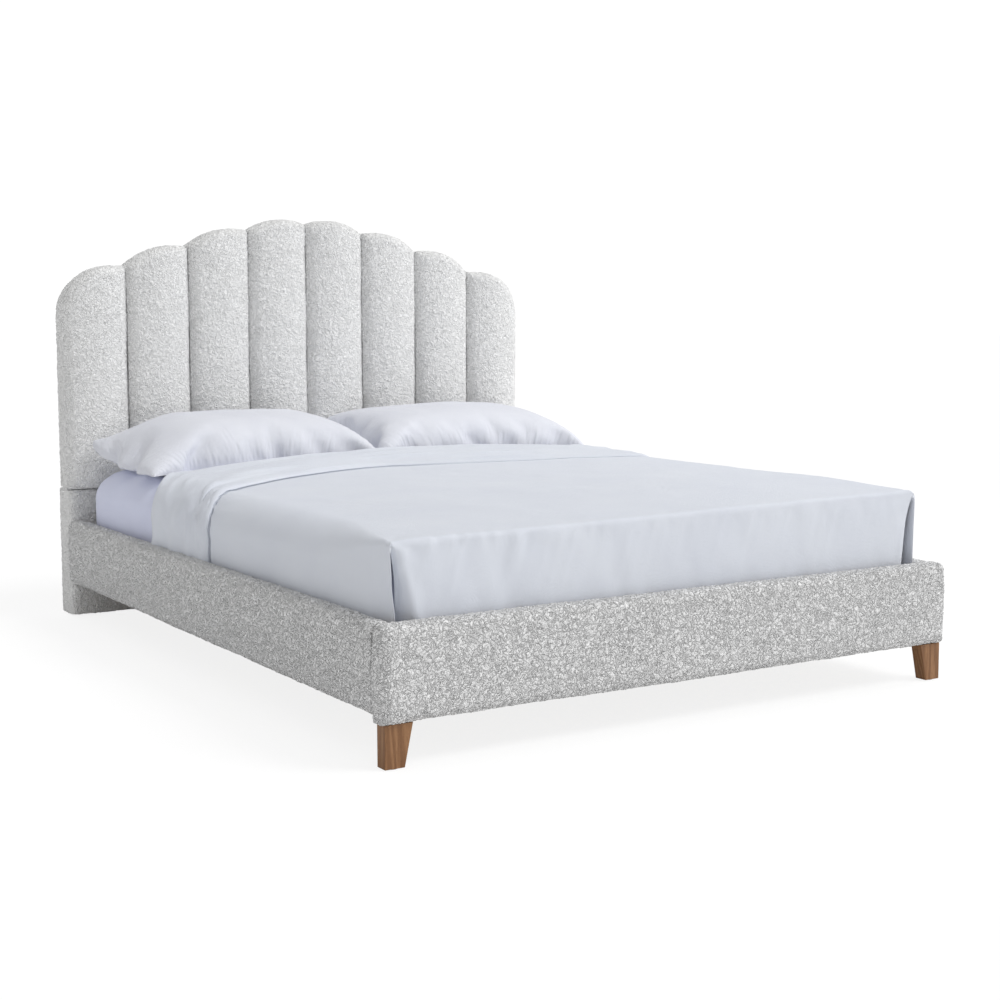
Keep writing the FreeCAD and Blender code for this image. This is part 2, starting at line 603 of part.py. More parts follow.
def front_feet():
    """Tapered feet: straight on the outer side, sloping on the inner one, with hanger bolts and felts."""
    height = "(Sizes.foot_rail_bottom - Sizes.felt_thickness)"
    hanger_x = "(Sizes.foot_top / 2)"
    outer = "(Sizes.bed_width / 2 - Sizes.foot_inset_side)"
    middle_y = f"({FOOT_FACE} + Sizes.foot_inset_front + Sizes.foot_depth / 2)"
    bolts, felts = [], []
    for side, turn, name in ((-1, 0, "left"), (1, 180, "right")):
        body = new_body(f"foot_{name}")
        drawing = sketch_on(body, "XZ_Plane")
        outline(drawing, [("0", "0"), ("Sizes.foot_bottom", "0"), ("Sizes.foot_top", height), ("0", height)])
        pad(body, drawing, "Sizes.foot_depth", symmetric=True)
        depth = size("Sizes.foot_depth")
        fillet(body, "(Sizes.felt_thickness * 0.8)", lambda e: e.ZMax - e.ZMin > depth)
        drill(body, "XY_Plane", [(hanger_x, "0")], "Sizes.bolt_radius", "Sizes.hanger_grip", offset=height)
        place(body, f"({side} * {outer})", middle_y, "Sizes.felt_thickness", turn)

        hanger = doc.addObject("Part::Cylinder", "HangerBolt")
        hanger.setExpression("Radius", "Sizes.bolt_radius")
        hanger.setExpression("Height", "(2 * Sizes.hanger_grip + Sizes.rail_skin)")
        bolts.append(place(hanger, f"({side} * ({outer} - {hanger_x}))", middle_y,
                           "(Sizes.foot_rail_bottom - Sizes.hanger_grip)"))
        felt = doc.addObject("Part::Cylinder", "Felt")
        felt.setExpression("Radius", "Sizes.felt_radius")
        felt.setExpression("Height", "Sizes.felt_thickness")
        felts.append(place(felt, f"({side} * ({outer} - Sizes.foot_bottom / 2))", middle_y))
    group("foot_hanger_bolts", bolts)
    group("foot_felts", felts)


# ---------------------------------------------------------------- slat base


def slat_base():
    """Ledgers on the side rails, slats across them, and two straps that hold the slats apart."""
    clear = "Sizes.joint_gap"
    for side, name in ((-1, "left"), (1, "right")):
        ledger = keep(box("Ledger", "Sizes.ledger_width", f"({RAIL_LENGTH} - 2 * Sizes.bracket_leg)",
                          "Sizes.ledger_height"), f"slat_ledger_{name}")
        near_side = f"({RAIL_INSIDE} - Sizes.ledger_width)" if side > 0 else f"(-{RAIL_INSIDE})"
        place(ledger, near_side, f"({RAIL_MIDDLE} - ({RAIL_LENGTH} - 2 * Sizes.bracket_leg) / 2)",
              f"({SLAT_BOTTOM} - Sizes.ledger_height)")
    length = f"(2 * ({RAIL_INSIDE} - Sizes.slat_end_gap))"
    first = f"({FOOT_BACK} + Sizes.slat_margin)"
    step = f"(({LOWER_FACE} - {FOOT_BACK} - 2 * Sizes.slat_margin) / {SLATS - 1})"
    for number in range(1, SLATS + 1):
        blank = box("SlatBlank", length, "Sizes.slat_width", "Sizes.slat_thickness")
        doc.recompute()
        slat = keep(doc.addObject("Part::Fillet", "Slat"), f"slat_{number:02d}")
        slat.Base = blank
        radius = size("Sizes.slat_round")
        slat.Edges = [(i, radius, radius) for i, edge in enumerate(blank.Shape.Edges, 1)
                      if edge.BoundBox.XLength > size("Sizes.slat_width")]
        place(slat, f"(-{length} / 2)", f"({first} + {number - 1} * {step} - Sizes.slat_width / 2)",
              SLAT_BOTTOM)
    straps = []
    for side in (-1, 1):
        strap = box("Strap", "Sizes.strap_width",
                    f"({SLATS - 1} * {step} + Sizes.slat_width)", "Sizes.strap_thickness")
        place(strap, f"({side} * Sizes.strap_reach - Sizes.strap_width / 2)",
              f"({first} - Sizes.slat_width / 2 + {clear})", "Sizes.slat_top")
        straps.append(strap)
    group("slat_straps", straps)


def centre_support():
    """A beam under the slats, held in a steel hanger at each end and on two legs with levellers."""
    end_gap = "(Sizes.hanger_steel + Sizes.joint_gap)"
    length = f"({LOWER_FACE} - {FOOT_BACK} - 2 * {end_gap})"
    beam = new_body("centre_beam")
    drawing = sketch_on(beam, "XY_Plane")
    rectangle(drawing, "(-Sizes.beam_width / 2)", f"({FOOT_BACK} + {end_gap})",
              "(Sizes.beam_width / 2)", f"({LOWER_FACE} - {end_gap})")
    pad(beam, drawing, "Sizes.beam_height")
    studs = [("0", f"({end} * Sizes.leg_reach)") for end in (-1, 1)]
    drill(beam, "XY_Plane", studs, "Sizes.bolt_radius", "Sizes.hanger_grip", backwards=True)
    place(beam, z=f"({SLAT_BOTTOM} - Sizes.beam_height)")

    half, steel = "(Sizes.beam_width / 2 + 0.5)", "Sizes.hanger_steel"
    hangers = []
    for wall, turn in ((FOOT_BACK, 0), (LOWER_FACE, 180)):
        stirrup = doc.addObject("PartDesign::Body", "Hanger")
        drawing = sketch_on(stirrup, "XZ_Plane")
        top = "(Sizes.beam_height - 10)"
        outline(drawing, [
            (f"(-{half} - {steel})", f"(-{steel})"), (f"({half} + {steel})", f"(-{steel})"),
            (f"({half} + {steel})", top), (half, top), (half, "0"),
            (f"(-{half})", "0"), (f"(-{half})", top), (f"(-{half} - {steel})", top),
        ])
        pad(stirrup, drawing, "Sizes.hanger_length", backwards=True)
        plate = sketch_on(stirrup, "XZ_Plane")
        rectangle(plate, f"(-{half} - 20)", f"(-{steel})", f"({half} + 20)", top)
        pad(stirrup, plate, steel, backwards=True)
        place(stirrup, y=wall, z=f"({SLAT_BOTTOM} - Sizes.beam_height)", turn=turn)
        hangers.append(stirrup)
    group("beam_hangers", hangers)

    for end, name in ((-1, "front"), (1, "rear")):
        leg = new_body(f"centre_leg_{name}")
        drawing = sketch_on(leg, "XY_Plane")
        half = "(Sizes.leg_side / 2)"
        rectangle(drawing, f"(-{half})", f"(-{half})", half, half)
        leg_length = f"({SLAT_BOTTOM} - Sizes.beam_height - Sizes.leg_bottom)"
        pad(leg, drawing, leg_length)
        stud = sketch_on(leg, "XY_Plane", leg_length)
        circles(stud, [("0", "0")], "Sizes.bolt_radius")
        pad(leg, stud, "(Sizes.hanger_grip - 5)")
        drill(leg, "XY_Plane", [("0", "0")], "(Sizes.stem_radius + Sizes.stem_clearance)",
              "(Sizes.stem_length + 10)", backwards=True)
        place(leg, y=f"({end} * Sizes.leg_reach)", z="Sizes.leg_bottom")

        leveller = new_body(f"leveller_{name}")
        disc = sketch_on(leveller, "XY_Plane")
        circles(disc, [("0", "0")], "Sizes.disc_radius")
        pad(leveller, disc, "Sizes.disc_height")
        stem = sketch_on(leveller, "XY_Plane", "Sizes.disc_height")
        circles(stem, [("0", "0")], "Sizes.stem_radius")
        pad(leveller, stem, "Sizes.stem_length")
        place(leveller, y=f"({end} * Sizes.leg_reach)")


# ---------------------------------------------------------------- bedding


def soft_block(label, x_size, y_size, z_size, corner, top_edge, bottom_edge=None):
    """A rounded block on its own origin: the middle of its bottom. Without bottom_edge, that stays sharp."""
    body = new_body(label)
    drawing = sketch_on(body, "XY_Plane")
    rectangle(drawing, f"(-{x_size} / 2)", f"(-{y_size} / 2)", f"({x_size} / 2)", f"({y_size} / 2)")
    pad(body, drawing, z_size)
    fillet(body, corner, lambda e: e.ZLength > 1)
    top = size(z_size)
    fillet(body, top_edge, lambda e: near(e.ZMin, top))
    if bottom_edge:
        fillet(body, bottom_edge, lambda e: near(e.ZMax, 0))
    return body


def hollow(body, wall, open_faces):
    """Leaves a wall inside the body's outer shape, open at the chosen faces."""
    doc.recompute()
    base = body.Tip
    names = [f"Face{i}" for i, face in enumerate(base.Shape.Faces, 1) if open_faces(face.BoundBox)]
    feature = body.newObject("PartDesign::Thickness", "Thickness")
    feature.Base = (base, names)
    feature.setExpression("Value", wall)
    feature.Reversed = True
    doc.recompute()
    assert feature.Shape.Volume < base.Shape.Volume, f"{body.Label} isn't hollow"


def bedding():
    middle_y = f"({MATTRESS_FOOT} + Sizes.mattress_length / 2)"
    mattress = soft_block("mattress", "Sizes.mattress_width", "Sizes.mattress_length",
                          "Sizes.mattress_height", "Sizes.mattress_corner", "Sizes.mattress_round",
                          "Sizes.mattress_base_round")
    place(mattress, y=middle_y, z=MATTRESS_BOTTOM)

    sheet_fit = "(Sizes.sheet_wall + 0.2)"
    sheet_height = f"({MATTRESS_TOP} + {sheet_fit} - Sizes.sheet_bottom)"
    cover = soft_block("fitted_sheet", f"(Sizes.mattress_width + 2 * {sheet_fit})",
                       f"(Sizes.mattress_length + 2 * {sheet_fit})", sheet_height,
                       f"(Sizes.mattress_corner + {sheet_fit})", f"(Sizes.mattress_round + {sheet_fit})")
    hollow(cover, "Sizes.sheet_wall", lambda f: near(f.ZMin, 0) and near(f.ZMax, 0))
    place(cover, y=middle_y, z="Sizes.sheet_bottom")

    reach = "(Sizes.sheet_wall + Sizes.duvet_clearance + Sizes.duvet_wall)"
    width = f"(Sizes.mattress_width + 2 * {reach})"
    duvet = new_body("duvet")
    drawing = sketch_on(duvet, "XY_Plane")
    rectangle(drawing, f"(-{width} / 2)", "0", f"({width} / 2)", "Sizes.duvet_length")
    height = f"({DUVET_TOP} - Sizes.duvet_bottom)"
    pad(duvet, drawing, height)
    top = size(height)
    far = size("Sizes.duvet_length")
    fillet(duvet, f"(Sizes.mattress_corner + {reach})", lambda e: e.ZLength > 1 and e.YMax < 1)
    fillet(duvet, f"(Sizes.mattress_round + {reach})", lambda e: near(e.ZMin, top) and e.YMin < far - 1)
    hollow(duvet, "Sizes.duvet_wall",
           lambda f: (near(f.ZMin, 0) and near(f.ZMax, 0)) or (near(f.YMin, far) and near(f.YMax, far)))
    crown = sketch_on(duvet, "XY_Plane", height)
    inner = f"({width} / 2 - Sizes.duvet_border)"
    rectangle(crown, f"(-{inner})", "Sizes.duvet_border", inner, "Sizes.duvet_length")
    pad(duvet, crown, "Sizes.duvet_filling")
    place(duvet, y=f"({MATTRESS_FOOT} - {reach})", z="Sizes.duvet_bottom")

    pillow_y = f"({PAD_FRONT} - Sizes.pillow_gap - Sizes.pillow_depth / 2)"
    for side, name in ((-1, "left"), (1, "right")):
        pillow = soft_block(f"pillow_{name}", "Sizes.pillow_width", "Sizes.pillow_depth",
                            "Sizes.pillow_height", "Sizes.pillow_corner", "Sizes.pillow_round",
                            "Sizes.pillow_round")
        place(pillow, f"({side} * Sizes.pillow_reach)", pillow_y,
              f"({MATTRESS_TOP} + Sizes.sheet_wall + Sizes.rest_gap)")


# ---------------------------------------------------------------- whole bed


def check(thing):
    """Stops the script if a sub-part isn't one or more sound solids."""
    shape = thing.Shape
    if shape.isNull() or not shape.isValid() or not shape.Solids:
        raise RuntimeError(f"{thing.Label} has no sound solid")


upper_headboard()
headboard_frame()
lower_panel()
headboard_glides()
side_rails()
foot_rail()
corner_brackets()
front_feet()
slat_base()
centre_support()
bedding()
doc.recompute()

for thing in doc.Objects:
    if {"Invalid", "Error"} & set(thing.State):
        raise RuntimeError(f"{thing.Name} ({thing.Label}) failed: {thing.State}")
for piece in pieces:
    check(piece)

os.makedirs("parts", exist_ok=True)
for piece in pieces:
    piece.Shape.exportStep(f"parts/{piece.Label}.step")
print(f"{len(pieces)} sub-parts written")
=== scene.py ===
"""An upholstered headboard bed with made-up bedding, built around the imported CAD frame."""

import json
import math

import bmesh
import bpy
import numpy as np
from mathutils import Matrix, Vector


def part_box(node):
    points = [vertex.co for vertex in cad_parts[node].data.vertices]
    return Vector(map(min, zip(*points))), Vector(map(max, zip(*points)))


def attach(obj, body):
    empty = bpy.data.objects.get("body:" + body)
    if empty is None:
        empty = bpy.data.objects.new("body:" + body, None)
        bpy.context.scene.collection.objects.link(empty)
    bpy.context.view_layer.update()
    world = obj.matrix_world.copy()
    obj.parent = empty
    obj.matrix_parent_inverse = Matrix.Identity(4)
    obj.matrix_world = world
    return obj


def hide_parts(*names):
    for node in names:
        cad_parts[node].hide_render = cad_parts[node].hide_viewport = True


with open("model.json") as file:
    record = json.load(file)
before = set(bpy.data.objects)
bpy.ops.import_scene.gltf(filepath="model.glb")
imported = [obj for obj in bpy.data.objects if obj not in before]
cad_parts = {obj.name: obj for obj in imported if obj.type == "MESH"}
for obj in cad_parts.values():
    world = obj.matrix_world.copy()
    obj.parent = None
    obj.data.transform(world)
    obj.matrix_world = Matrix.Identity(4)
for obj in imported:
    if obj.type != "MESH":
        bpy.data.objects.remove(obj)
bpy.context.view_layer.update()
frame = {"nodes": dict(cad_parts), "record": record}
NODES = frame["nodes"]
MM = 0.001


# ---------------------------------------------------------------- noise


def hashed(cells, seed):
    """A repeatable number from 0 to 1 for each row of whole numbers."""
    mixed = cells[..., 0] * 73856093 ^ cells[..., 1] * 19349663
    mixed = mixed ^ cells[..., 2] * 83492791 ^ seed * 668265263
    mixed = (mixed ^ (mixed >> 13)) * 1274126177 & 0x7FFFFFFF
    mixed = (mixed ^ (mixed >> 15)) * 2246822519 & 0x7FFFFFFF
    return ((mixed ^ (mixed >> 16)) & 0xFFFFFF) / 0xFFFFFF


def noise(points, size, seed=0):
    """Smooth noise from -1 to 1 with features about as wide as size."""
    scaled = points / size
    cell = np.floor(scaled).astype(np.int64)
    part = scaled - cell
    ease = part * part * (3 - 2 * part)
    total = np.zeros(len(points))
    for corner in np.ndindex(2, 2, 2):
        share = np.prod(np.where(corner, ease, 1 - ease), axis=1)
        total += share * hashed(cell + corner, seed)
    return 2 * total - 1


def fractal(points, size, seed=0, octaves=3):
    """Noise in layers, each half the size and half the height of the one before."""
    total, weight = np.zeros(len(points)), 1.0
    for octave in range(octaves):
        total += weight * noise(points, size / 2**octave, seed + octave)
        weight *= 0.5
    return total


def yarn(points, size, seed):
    """Height from 0 to 1 of curly yarn: winding ridges about size apart, over a lower layer of them."""
    upper_width, lower_width, lower_height, elsewhere = 0.28, 0.30, 0.55, 0.37
    warp = np.stack([noise(points, 1.6 * size, seed + k) for k in range(3)], axis=1)
    bent = points + 0.5 * size * warp
    upper = np.clip(1 - (noise(bent, size, seed + 3) / upper_width) ** 2, 0, 1)
    lower = np.clip(1 - (noise(bent + elsewhere, 0.8 * size, seed + 4) / lower_width) ** 2, 0, 1)
    tall = 0.72 + 0.5 * noise(points, 1.5 * size, seed + 5)
    return np.clip(np.maximum(upper * tall, lower_height * lower), 0, 1)


def smooth_step(x, low, high):
    """Rises smoothly from 0 at low to 1 at high."""
    t = np.clip((x - low) / (high - low), 0, 1)
    return t * t * (3 - 2 * t)


# ---------------------------------------------------------------- meshes


def new_object(name, mesh):
    """An object for a mesh, in the scene."""
    piece = bpy.data.objects.new(name, mesh)
    bpy.context.scene.collection.objects.link(piece)
    return piece


def shade_smooth(mesh):
    mesh.polygons.foreach_set("use_smooth", np.ones(len(mesh.polygons), bool))
    mesh.update()


def piece_from(name, points, faces):
    """A smooth-shaded object from an array of points and one of faces."""
    mesh = bpy.data.meshes.new(name)
    mesh.from_pydata(points.tolist(), [], faces.tolist())
    shade_smooth(mesh)
    return new_object(name, mesh)


def points_of(mesh):
    """The mesh's points, one to a row."""
    points = np.zeros(len(mesh.vertices) * 3)
    mesh.vertices.foreach_get("co", points)
    return points.reshape(-1, 3)


def normals_of(mesh):
    """The direction that the surface faces at each point."""
    normals = np.zeros(len(mesh.vertices) * 3)
    mesh.vertices.foreach_get("normal", normals)
    return normals.reshape(-1, 3)


def move_points(mesh, points):
    mesh.vertices.foreach_set("co", points.ravel())
    mesh.update()


def applied(piece):
    """Turns a piece's modifiers into its mesh."""
    shown = piece.evaluated_get(bpy.context.evaluated_depsgraph_get())
    mesh = bpy.data.meshes.new_from_object(shown)
    old, piece.data = piece.data, mesh
    piece.modifiers.clear()
    if old.users == 0:
        bpy.data.meshes.remove(old)
    return piece


def remeshed(name, cad_name, voxel, finer=0):
    """A new piece with a CAD node's shape in even quads, each split again finer times."""
    piece = new_object(name, NODES[cad_name].data.copy())
    piece.data.materials.clear()
    remesh = piece.modifiers.new("even", "REMESH")
    remesh.mode, remesh.voxel_size = "VOXEL", voxel
    if finer:
        split = piece.modifiers.new("finer", "SUBSURF")
        split.levels = split.render_levels = finer
    applied(piece)
    shade_smooth(piece.data)
    return piece


def cull_hidden(piece, hidden):
    """Joins the faces of a flat side that nothing shows into one."""
    work = bmesh.new()
    work.from_mesh(piece.data)
    flat = [face for face in work.faces if hidden(face.calc_center_median(), face.normal)]
    if flat:
        bmesh.ops.dissolve_faces(work, faces=flat, use_verts=True)
    work.to_mesh(piece.data)
    work.free()
    shade_smooth(piece.data)


def finish_piece(piece, body, skin, replaces=()):
    """Gives a piece its material and body, and hides the CAD nodes it stands in for."""
    piece.data.materials.clear()
    piece.data.materials.append(skin)
    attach(piece, body)
    if replaces:
        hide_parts(*replaces)
    return piece


# ---------------------------------------------------------------- materials


def new_material(name, **sockets):
    """A material whose Principled shader has these constant sockets."""
    made = bpy.data.materials.new(name)
    made.use_nodes = True
    shader = made.node_tree.nodes["Principled BSDF"]
    for socket, value in sockets.items():
        shader.inputs[socket.replace("_", " ")].default_value = value
    return made, made.node_tree, shader


def node(tree, kind, inputs=None, **settings):
    """A shader node; an input is a number, a colour, or another node's output."""
    made = tree.nodes.new(kind)
    for name, value in settings.items():
        setattr(made, name, value)
    for name, value in (inputs or {}).items():
        if isinstance(value, bpy.types.NodeSocket):
            tree.links.new(value, made.inputs[name])
        else:
            made.inputs[name].default_value = value
    return made


def object_place(tree, scale=(1, 1, 1), turn=(0, 0, 0)):
    """The place on the object in metres, stretched and turned."""
    place = node(tree, "ShaderNodeTexCoord").outputs["Object"]
    mapped = node(tree, "ShaderNodeMapping", {"Vector": place, "Scale": scale, "Rotation": turn})
    return mapped.outputs[0]


def noise_of(tree, place, scale, detail=3, roughness=0.5, distortion=0.0):
    """Noise from 0 to 1 with about scale features to a metre."""
    made = node(tree, "ShaderNodeTexNoise", {"Vector": place, "Scale": scale, "Detail": detail,
                                             "Roughness": roughness, "Distortion": distortion})
    return made.outputs["Fac"]


def ramp(tree, value, stops):
    """A colour for each value, from (value, colour) stops."""
    made = node(tree, "ShaderNodeValToRGB", {"Fac": value})
    band = made.color_ramp
    while len(band.elements) < len(stops):
        band.elements.new(0.5)
    for element, (place, colour) in zip(band.elements, stops):
        element.position = place
        element.color = (*colour, 1)
    return made.outputs["Color"]


def multiplied(tree, share, a, b):
    """Colour a darkened by colour b, by a share from 0 to 1."""
    factor, first, second, result = 0, 6, 7, 2
    made = node(tree, "ShaderNodeMix", {factor: share}, data_type="RGBA", blend_type="MULTIPLY")
    tree.links.new(a, made.inputs[first])
    tree.links.new(b, made.inputs[second])
    return made.outputs[result]


def to_range(tree, value, low, high, out_low, out_high):
    """A value moved from one range to another, and held inside it."""
    return node(tree, "ShaderNodeMapRange", {"Value": value, "From Min": low, "From Max": high,
                                             "To Min": out_low, "To Max": out_high}).outputs[0]


def sum_of(tree, a, b, share=1.0):
    """a, and b times share."""
    return node(tree, "ShaderNodeMath", {0: b, 1: share, 2: a}, operation="MULTIPLY_ADD").outputs[0]


def bump(tree, shader, height, distance, strength=1.0):
    """Fine relief: distance is how many metres a height of 1 stands up."""
    made = node(tree, "ShaderNodeBump", {"Height": height, "Distance": distance, "Strength": strength})
    tree.links.new(made.outputs[0], shader.inputs["Normal"])


def winding_ridges(tree, place, scale, width):
    """Height from 0 to 1 of winding ridges, with about scale of them to a metre.

    They run along the middle value of a noise, out to width on both sides of it.
    """
    swirl = noise_of(tree, place, scale, 0.5, 0.4, 0.9)
    off = node(tree, "ShaderNodeMath", {0: swirl, 1: 0.5}, operation="SUBTRACT").outputs[0]
    away = node(tree, "ShaderNodeMath", {0: off}, operation="ABSOLUTE").outputs[0]
    made = node(tree, "ShaderNodeMapRange", {"Value": away, "From Min": 0.0, "From Max": width,
                                             "To Min": 1.0, "To Max": 0.0}, interpolation_type="SMOOTHSTEP")
    return made.outputs[0]


def grey(level):
    return (level, level, level)


def boucle_material(name, relief, dark, light):
    """Curly off-white yarn: winding loops over finer ones, with painted shade in the hollows between loops
    and painted light on faces that turn up.
    """
    made, tree, shader = new_material(name, Sheen_Weight=0.6, Sheen_Roughness=0.4, Specular_IOR_Level=0.15)
    place = object_place(tree)
    loops = winding_ridges(tree, place, 92, 0.085)
    small = winding_ridges(tree, place, 145, 0.12)
    height = sum_of(tree, loops, small, 0.3)
    patches = noise_of(tree, place, 9, 4)
    tone = ramp(tree, patches, [(0.3, grey(0.97)), (0.7, grey(1.0))])
    # Painted shade: the colour darkens from the crests down into the hollows of the relief, where shade
    # would fall.
    crest = ramp(tree, to_range(tree, height, 0.0, 1.2, 0, 1), [(0.05, dark), (0.6, light)])
    # Painted light: faces that turn up are made a little lighter in colour.
    facing = node(tree, "ShaderNodeNewGeometry").outputs["Normal"]
    upward = node(tree, "ShaderNodeSeparateXYZ", {0: facing}).outputs["Z"]
    painted_top_light = ramp(tree, to_range(tree, upward, 0.1, 0.8, 0, 1), [(0.0, grey(0.985)), (1.0, grey(1.0))])
    evened = multiplied(tree, 1.0, crest, tone)
    tree.links.new(multiplied(tree, 1.0, evened, painted_top_light), shader.inputs["Base Color"])
    fibre = noise_of(tree, place, 600, 2, 0.6)
    tree.links.new(to_range(tree, fibre, 0.3, 0.7, 0.85, 1.0), shader.inputs["Roughness"])
    bump(tree, shader, height, 6 * MM, relief)
    return made


def cotton_material(name, colour, warm, rough=0.8):
    """Fine plain-weave bed cotton, with faint tone changes and small creases."""
    made, tree, shader = new_material(name, Sheen_Weight=0.15, Sheen_Roughness=0.5, Specular_IOR_Level=0.3)
    place = object_place(tree)
    tone = noise_of(tree, place, 4.0, 4, 0.6)
    tree.links.new(ramp(tree, tone, [(0.3, colour), (0.7, warm)]), shader.inputs["Base Color"])
    thread = {"Vector": place, "Scale": 700.0, "Distortion": 0.6, "Detail": 1.0}
    over = node(tree, "ShaderNodeTexWave", thread, bands_direction="X").outputs["Fac"]
    under = node(tree, "ShaderNodeTexWave", thread, bands_direction="Y").outputs["Fac"]
    slub = noise_of(tree, object_place(tree, (1, 0.25, 1)), 240, 3, 0.6)
    crease = noise_of(tree, place, 34, 5, 0.55, 0.8)
    weave = sum_of(tree, sum_of(tree, over, under), slub, 1.5)
    bump(tree, shader, sum_of(tree, weave, crease, 9.0), 0.3 * MM, 0.35)
    tree.links.new(to_range(tree, slub, 0.3, 0.7, rough - 0.05, rough + 0.08), shader.inputs["Roughness"])
    return made


def wood_material(name, light, dark, along, lean=0.0, rough=0.55, coat=0.0, scale=1.0):
    """Sawn timber: long growth lines along one axis, pores and a soft tone change."""
    made, tree, shader = new_material(name, Specular_IOR_Level=0.35, Coat_Weight=coat, Coat_Roughness=0.35)
    stretch = [14.0 * scale] * 3
    stretch["XYZ".index(along)] = 0.9 * scale
    place = object_place(tree, stretch, (lean, lean, 0))
    growth = {"Vector": place, "Scale": 1.6, "Distortion": 7.0, "Detail": 3.0, "Detail Scale": 1.4}
    rings = node(tree, "ShaderNodeTexWave", growth, bands_direction="DIAGONAL").outputs["Fac"]
    grain = noise_of(tree, place, 7, 6, 0.65, 0.4)
    pores = noise_of(tree, place, 60, 2, 0.7)
    figure = sum_of(tree, rings, grain, 0.9)
    colour = ramp(tree, to_range(tree, figure, 0.3, 1.5, 0, 1), [(0.1, dark), (0.55, light), (0.95, dark)])
    spots = ramp(tree, pores, [(0.34, (0.72, 0.66, 0.6)), (0.46, grey(1.0))])
    tree.links.new(multiplied(tree, 0.8, colour, spots), shader.inputs["Base Color"])
    tree.links.new(to_range(tree, grain, 0.3, 0.7, rough - 0.08, rough + 0.12), shader.inputs["Roughness"])
    bump(tree, shader, sum_of(tree, figure, pores, 0.8), 0.4 * MM, 0.5)
    return made


def metal_material(name, colour, rough):
    """Plated or brushed steel with fine scratches and cloudy roughness."""
    made, tree, shader = new_material(name, Metallic=1.0)
    place = object_place(tree)
    cloud = noise_of(tree, place, 60, 4, 0.6)
    scratches = noise_of(tree, object_place(tree, (1, 1, 14)), 260, 3, 0.6)
    darker = tuple(0.72 * part for part in colour)
    tree.links.new(ramp(tree, cloud, [(0.35, darker), (0.65, colour)]), shader.inputs["Base Color"])
    uneven = to_range(tree, scratches, 0.3, 0.7, rough - 0.1, rough + 0.15)
    tree.links.new(uneven, shader.inputs["Roughness"])
    bump(tree, shader, scratches, 0.1 * MM, 0.4)
    return made


def woven_material(name, colour, thread, rough=0.9):
    """A plain woven cloth or webbing with visible threads."""
    made, tree, shader = new_material(name, Sheen_Weight=0.2, Specular_IOR_Level=0.2)
    place = object_place(tree)
    waves = [node(tree, "ShaderNodeTexWave", {"Vector": place, "Scale": thread, "Distortion": 0.8},
                  bands_direction=axis).outputs["Fac"] for axis in "XYZ"]
    weave = sum_of(tree, sum_of(tree, waves[0], waves[1]), waves[2])
    tone = noise_of(tree, place, 30, 4)
    darker = tuple(0.6 * part for part in colour)
    mixed = sum_of(tree, to_range(tree, weave, 0.6, 2.4, 0, 1), tone, 0.5)
    tree.links.new(ramp(tree, mixed, [(0.2, darker), (0.9, colour)]), shader.inputs["Base Color"])
    tree.links.new(to_range(tree, tone, 0.3, 0.7, rough - 0.06, rough + 0.06), shader.inputs["Roughness"])
    bump(tree, shader, weave, 0.4 * MM, 0.6)
    return made


def fleck_material(name, colour, grain, rough, depth, sheen=0.0):
    """Felt or moulded plastic: a fine even texture with a little tone change."""
    made, tree, shader = new_material(name, Sheen_Weight=sheen, Specular_IOR_Level=0.3)
    place = object_place(tree)
    fine, broad = noise_of(tree, place, grain, 4, 0.7), noise_of(tree, place, 45, 3)
    darker = tuple(0.7 * part for part in colour)
    tree.links.new(ramp(tree, sum_of(tree, fine, broad, 0.4), [(0.45, darker), (0.85, colour)]),
                   shader.inputs["Base Color"])
    tree.links.new(to_range(tree, fine, 0.3, 0.7, rough - 0.06, rough + 0.08), shader.inputs["Roughness"])
    bump(tree, shader, fine, depth, 0.6)
    return made


# Yarn colours at the crests and, darker, in the hollows; the darkening in the hollows is painted shade.
BOUCLE_PAINTED_HOLLOW_SHADE = grey(0.90)
BOUCLE_LIGHT = grey(0.99)
# The headboard's copy of the boucle, paler in its hollows: painted light that makes up for the shade the
# headboard stands in.
PAD_PAINTED_HOLLOW_SHADE = (0.94, 0.94, 0.935)
PAD_LIGHT = (0.99, 0.99, 0.985)

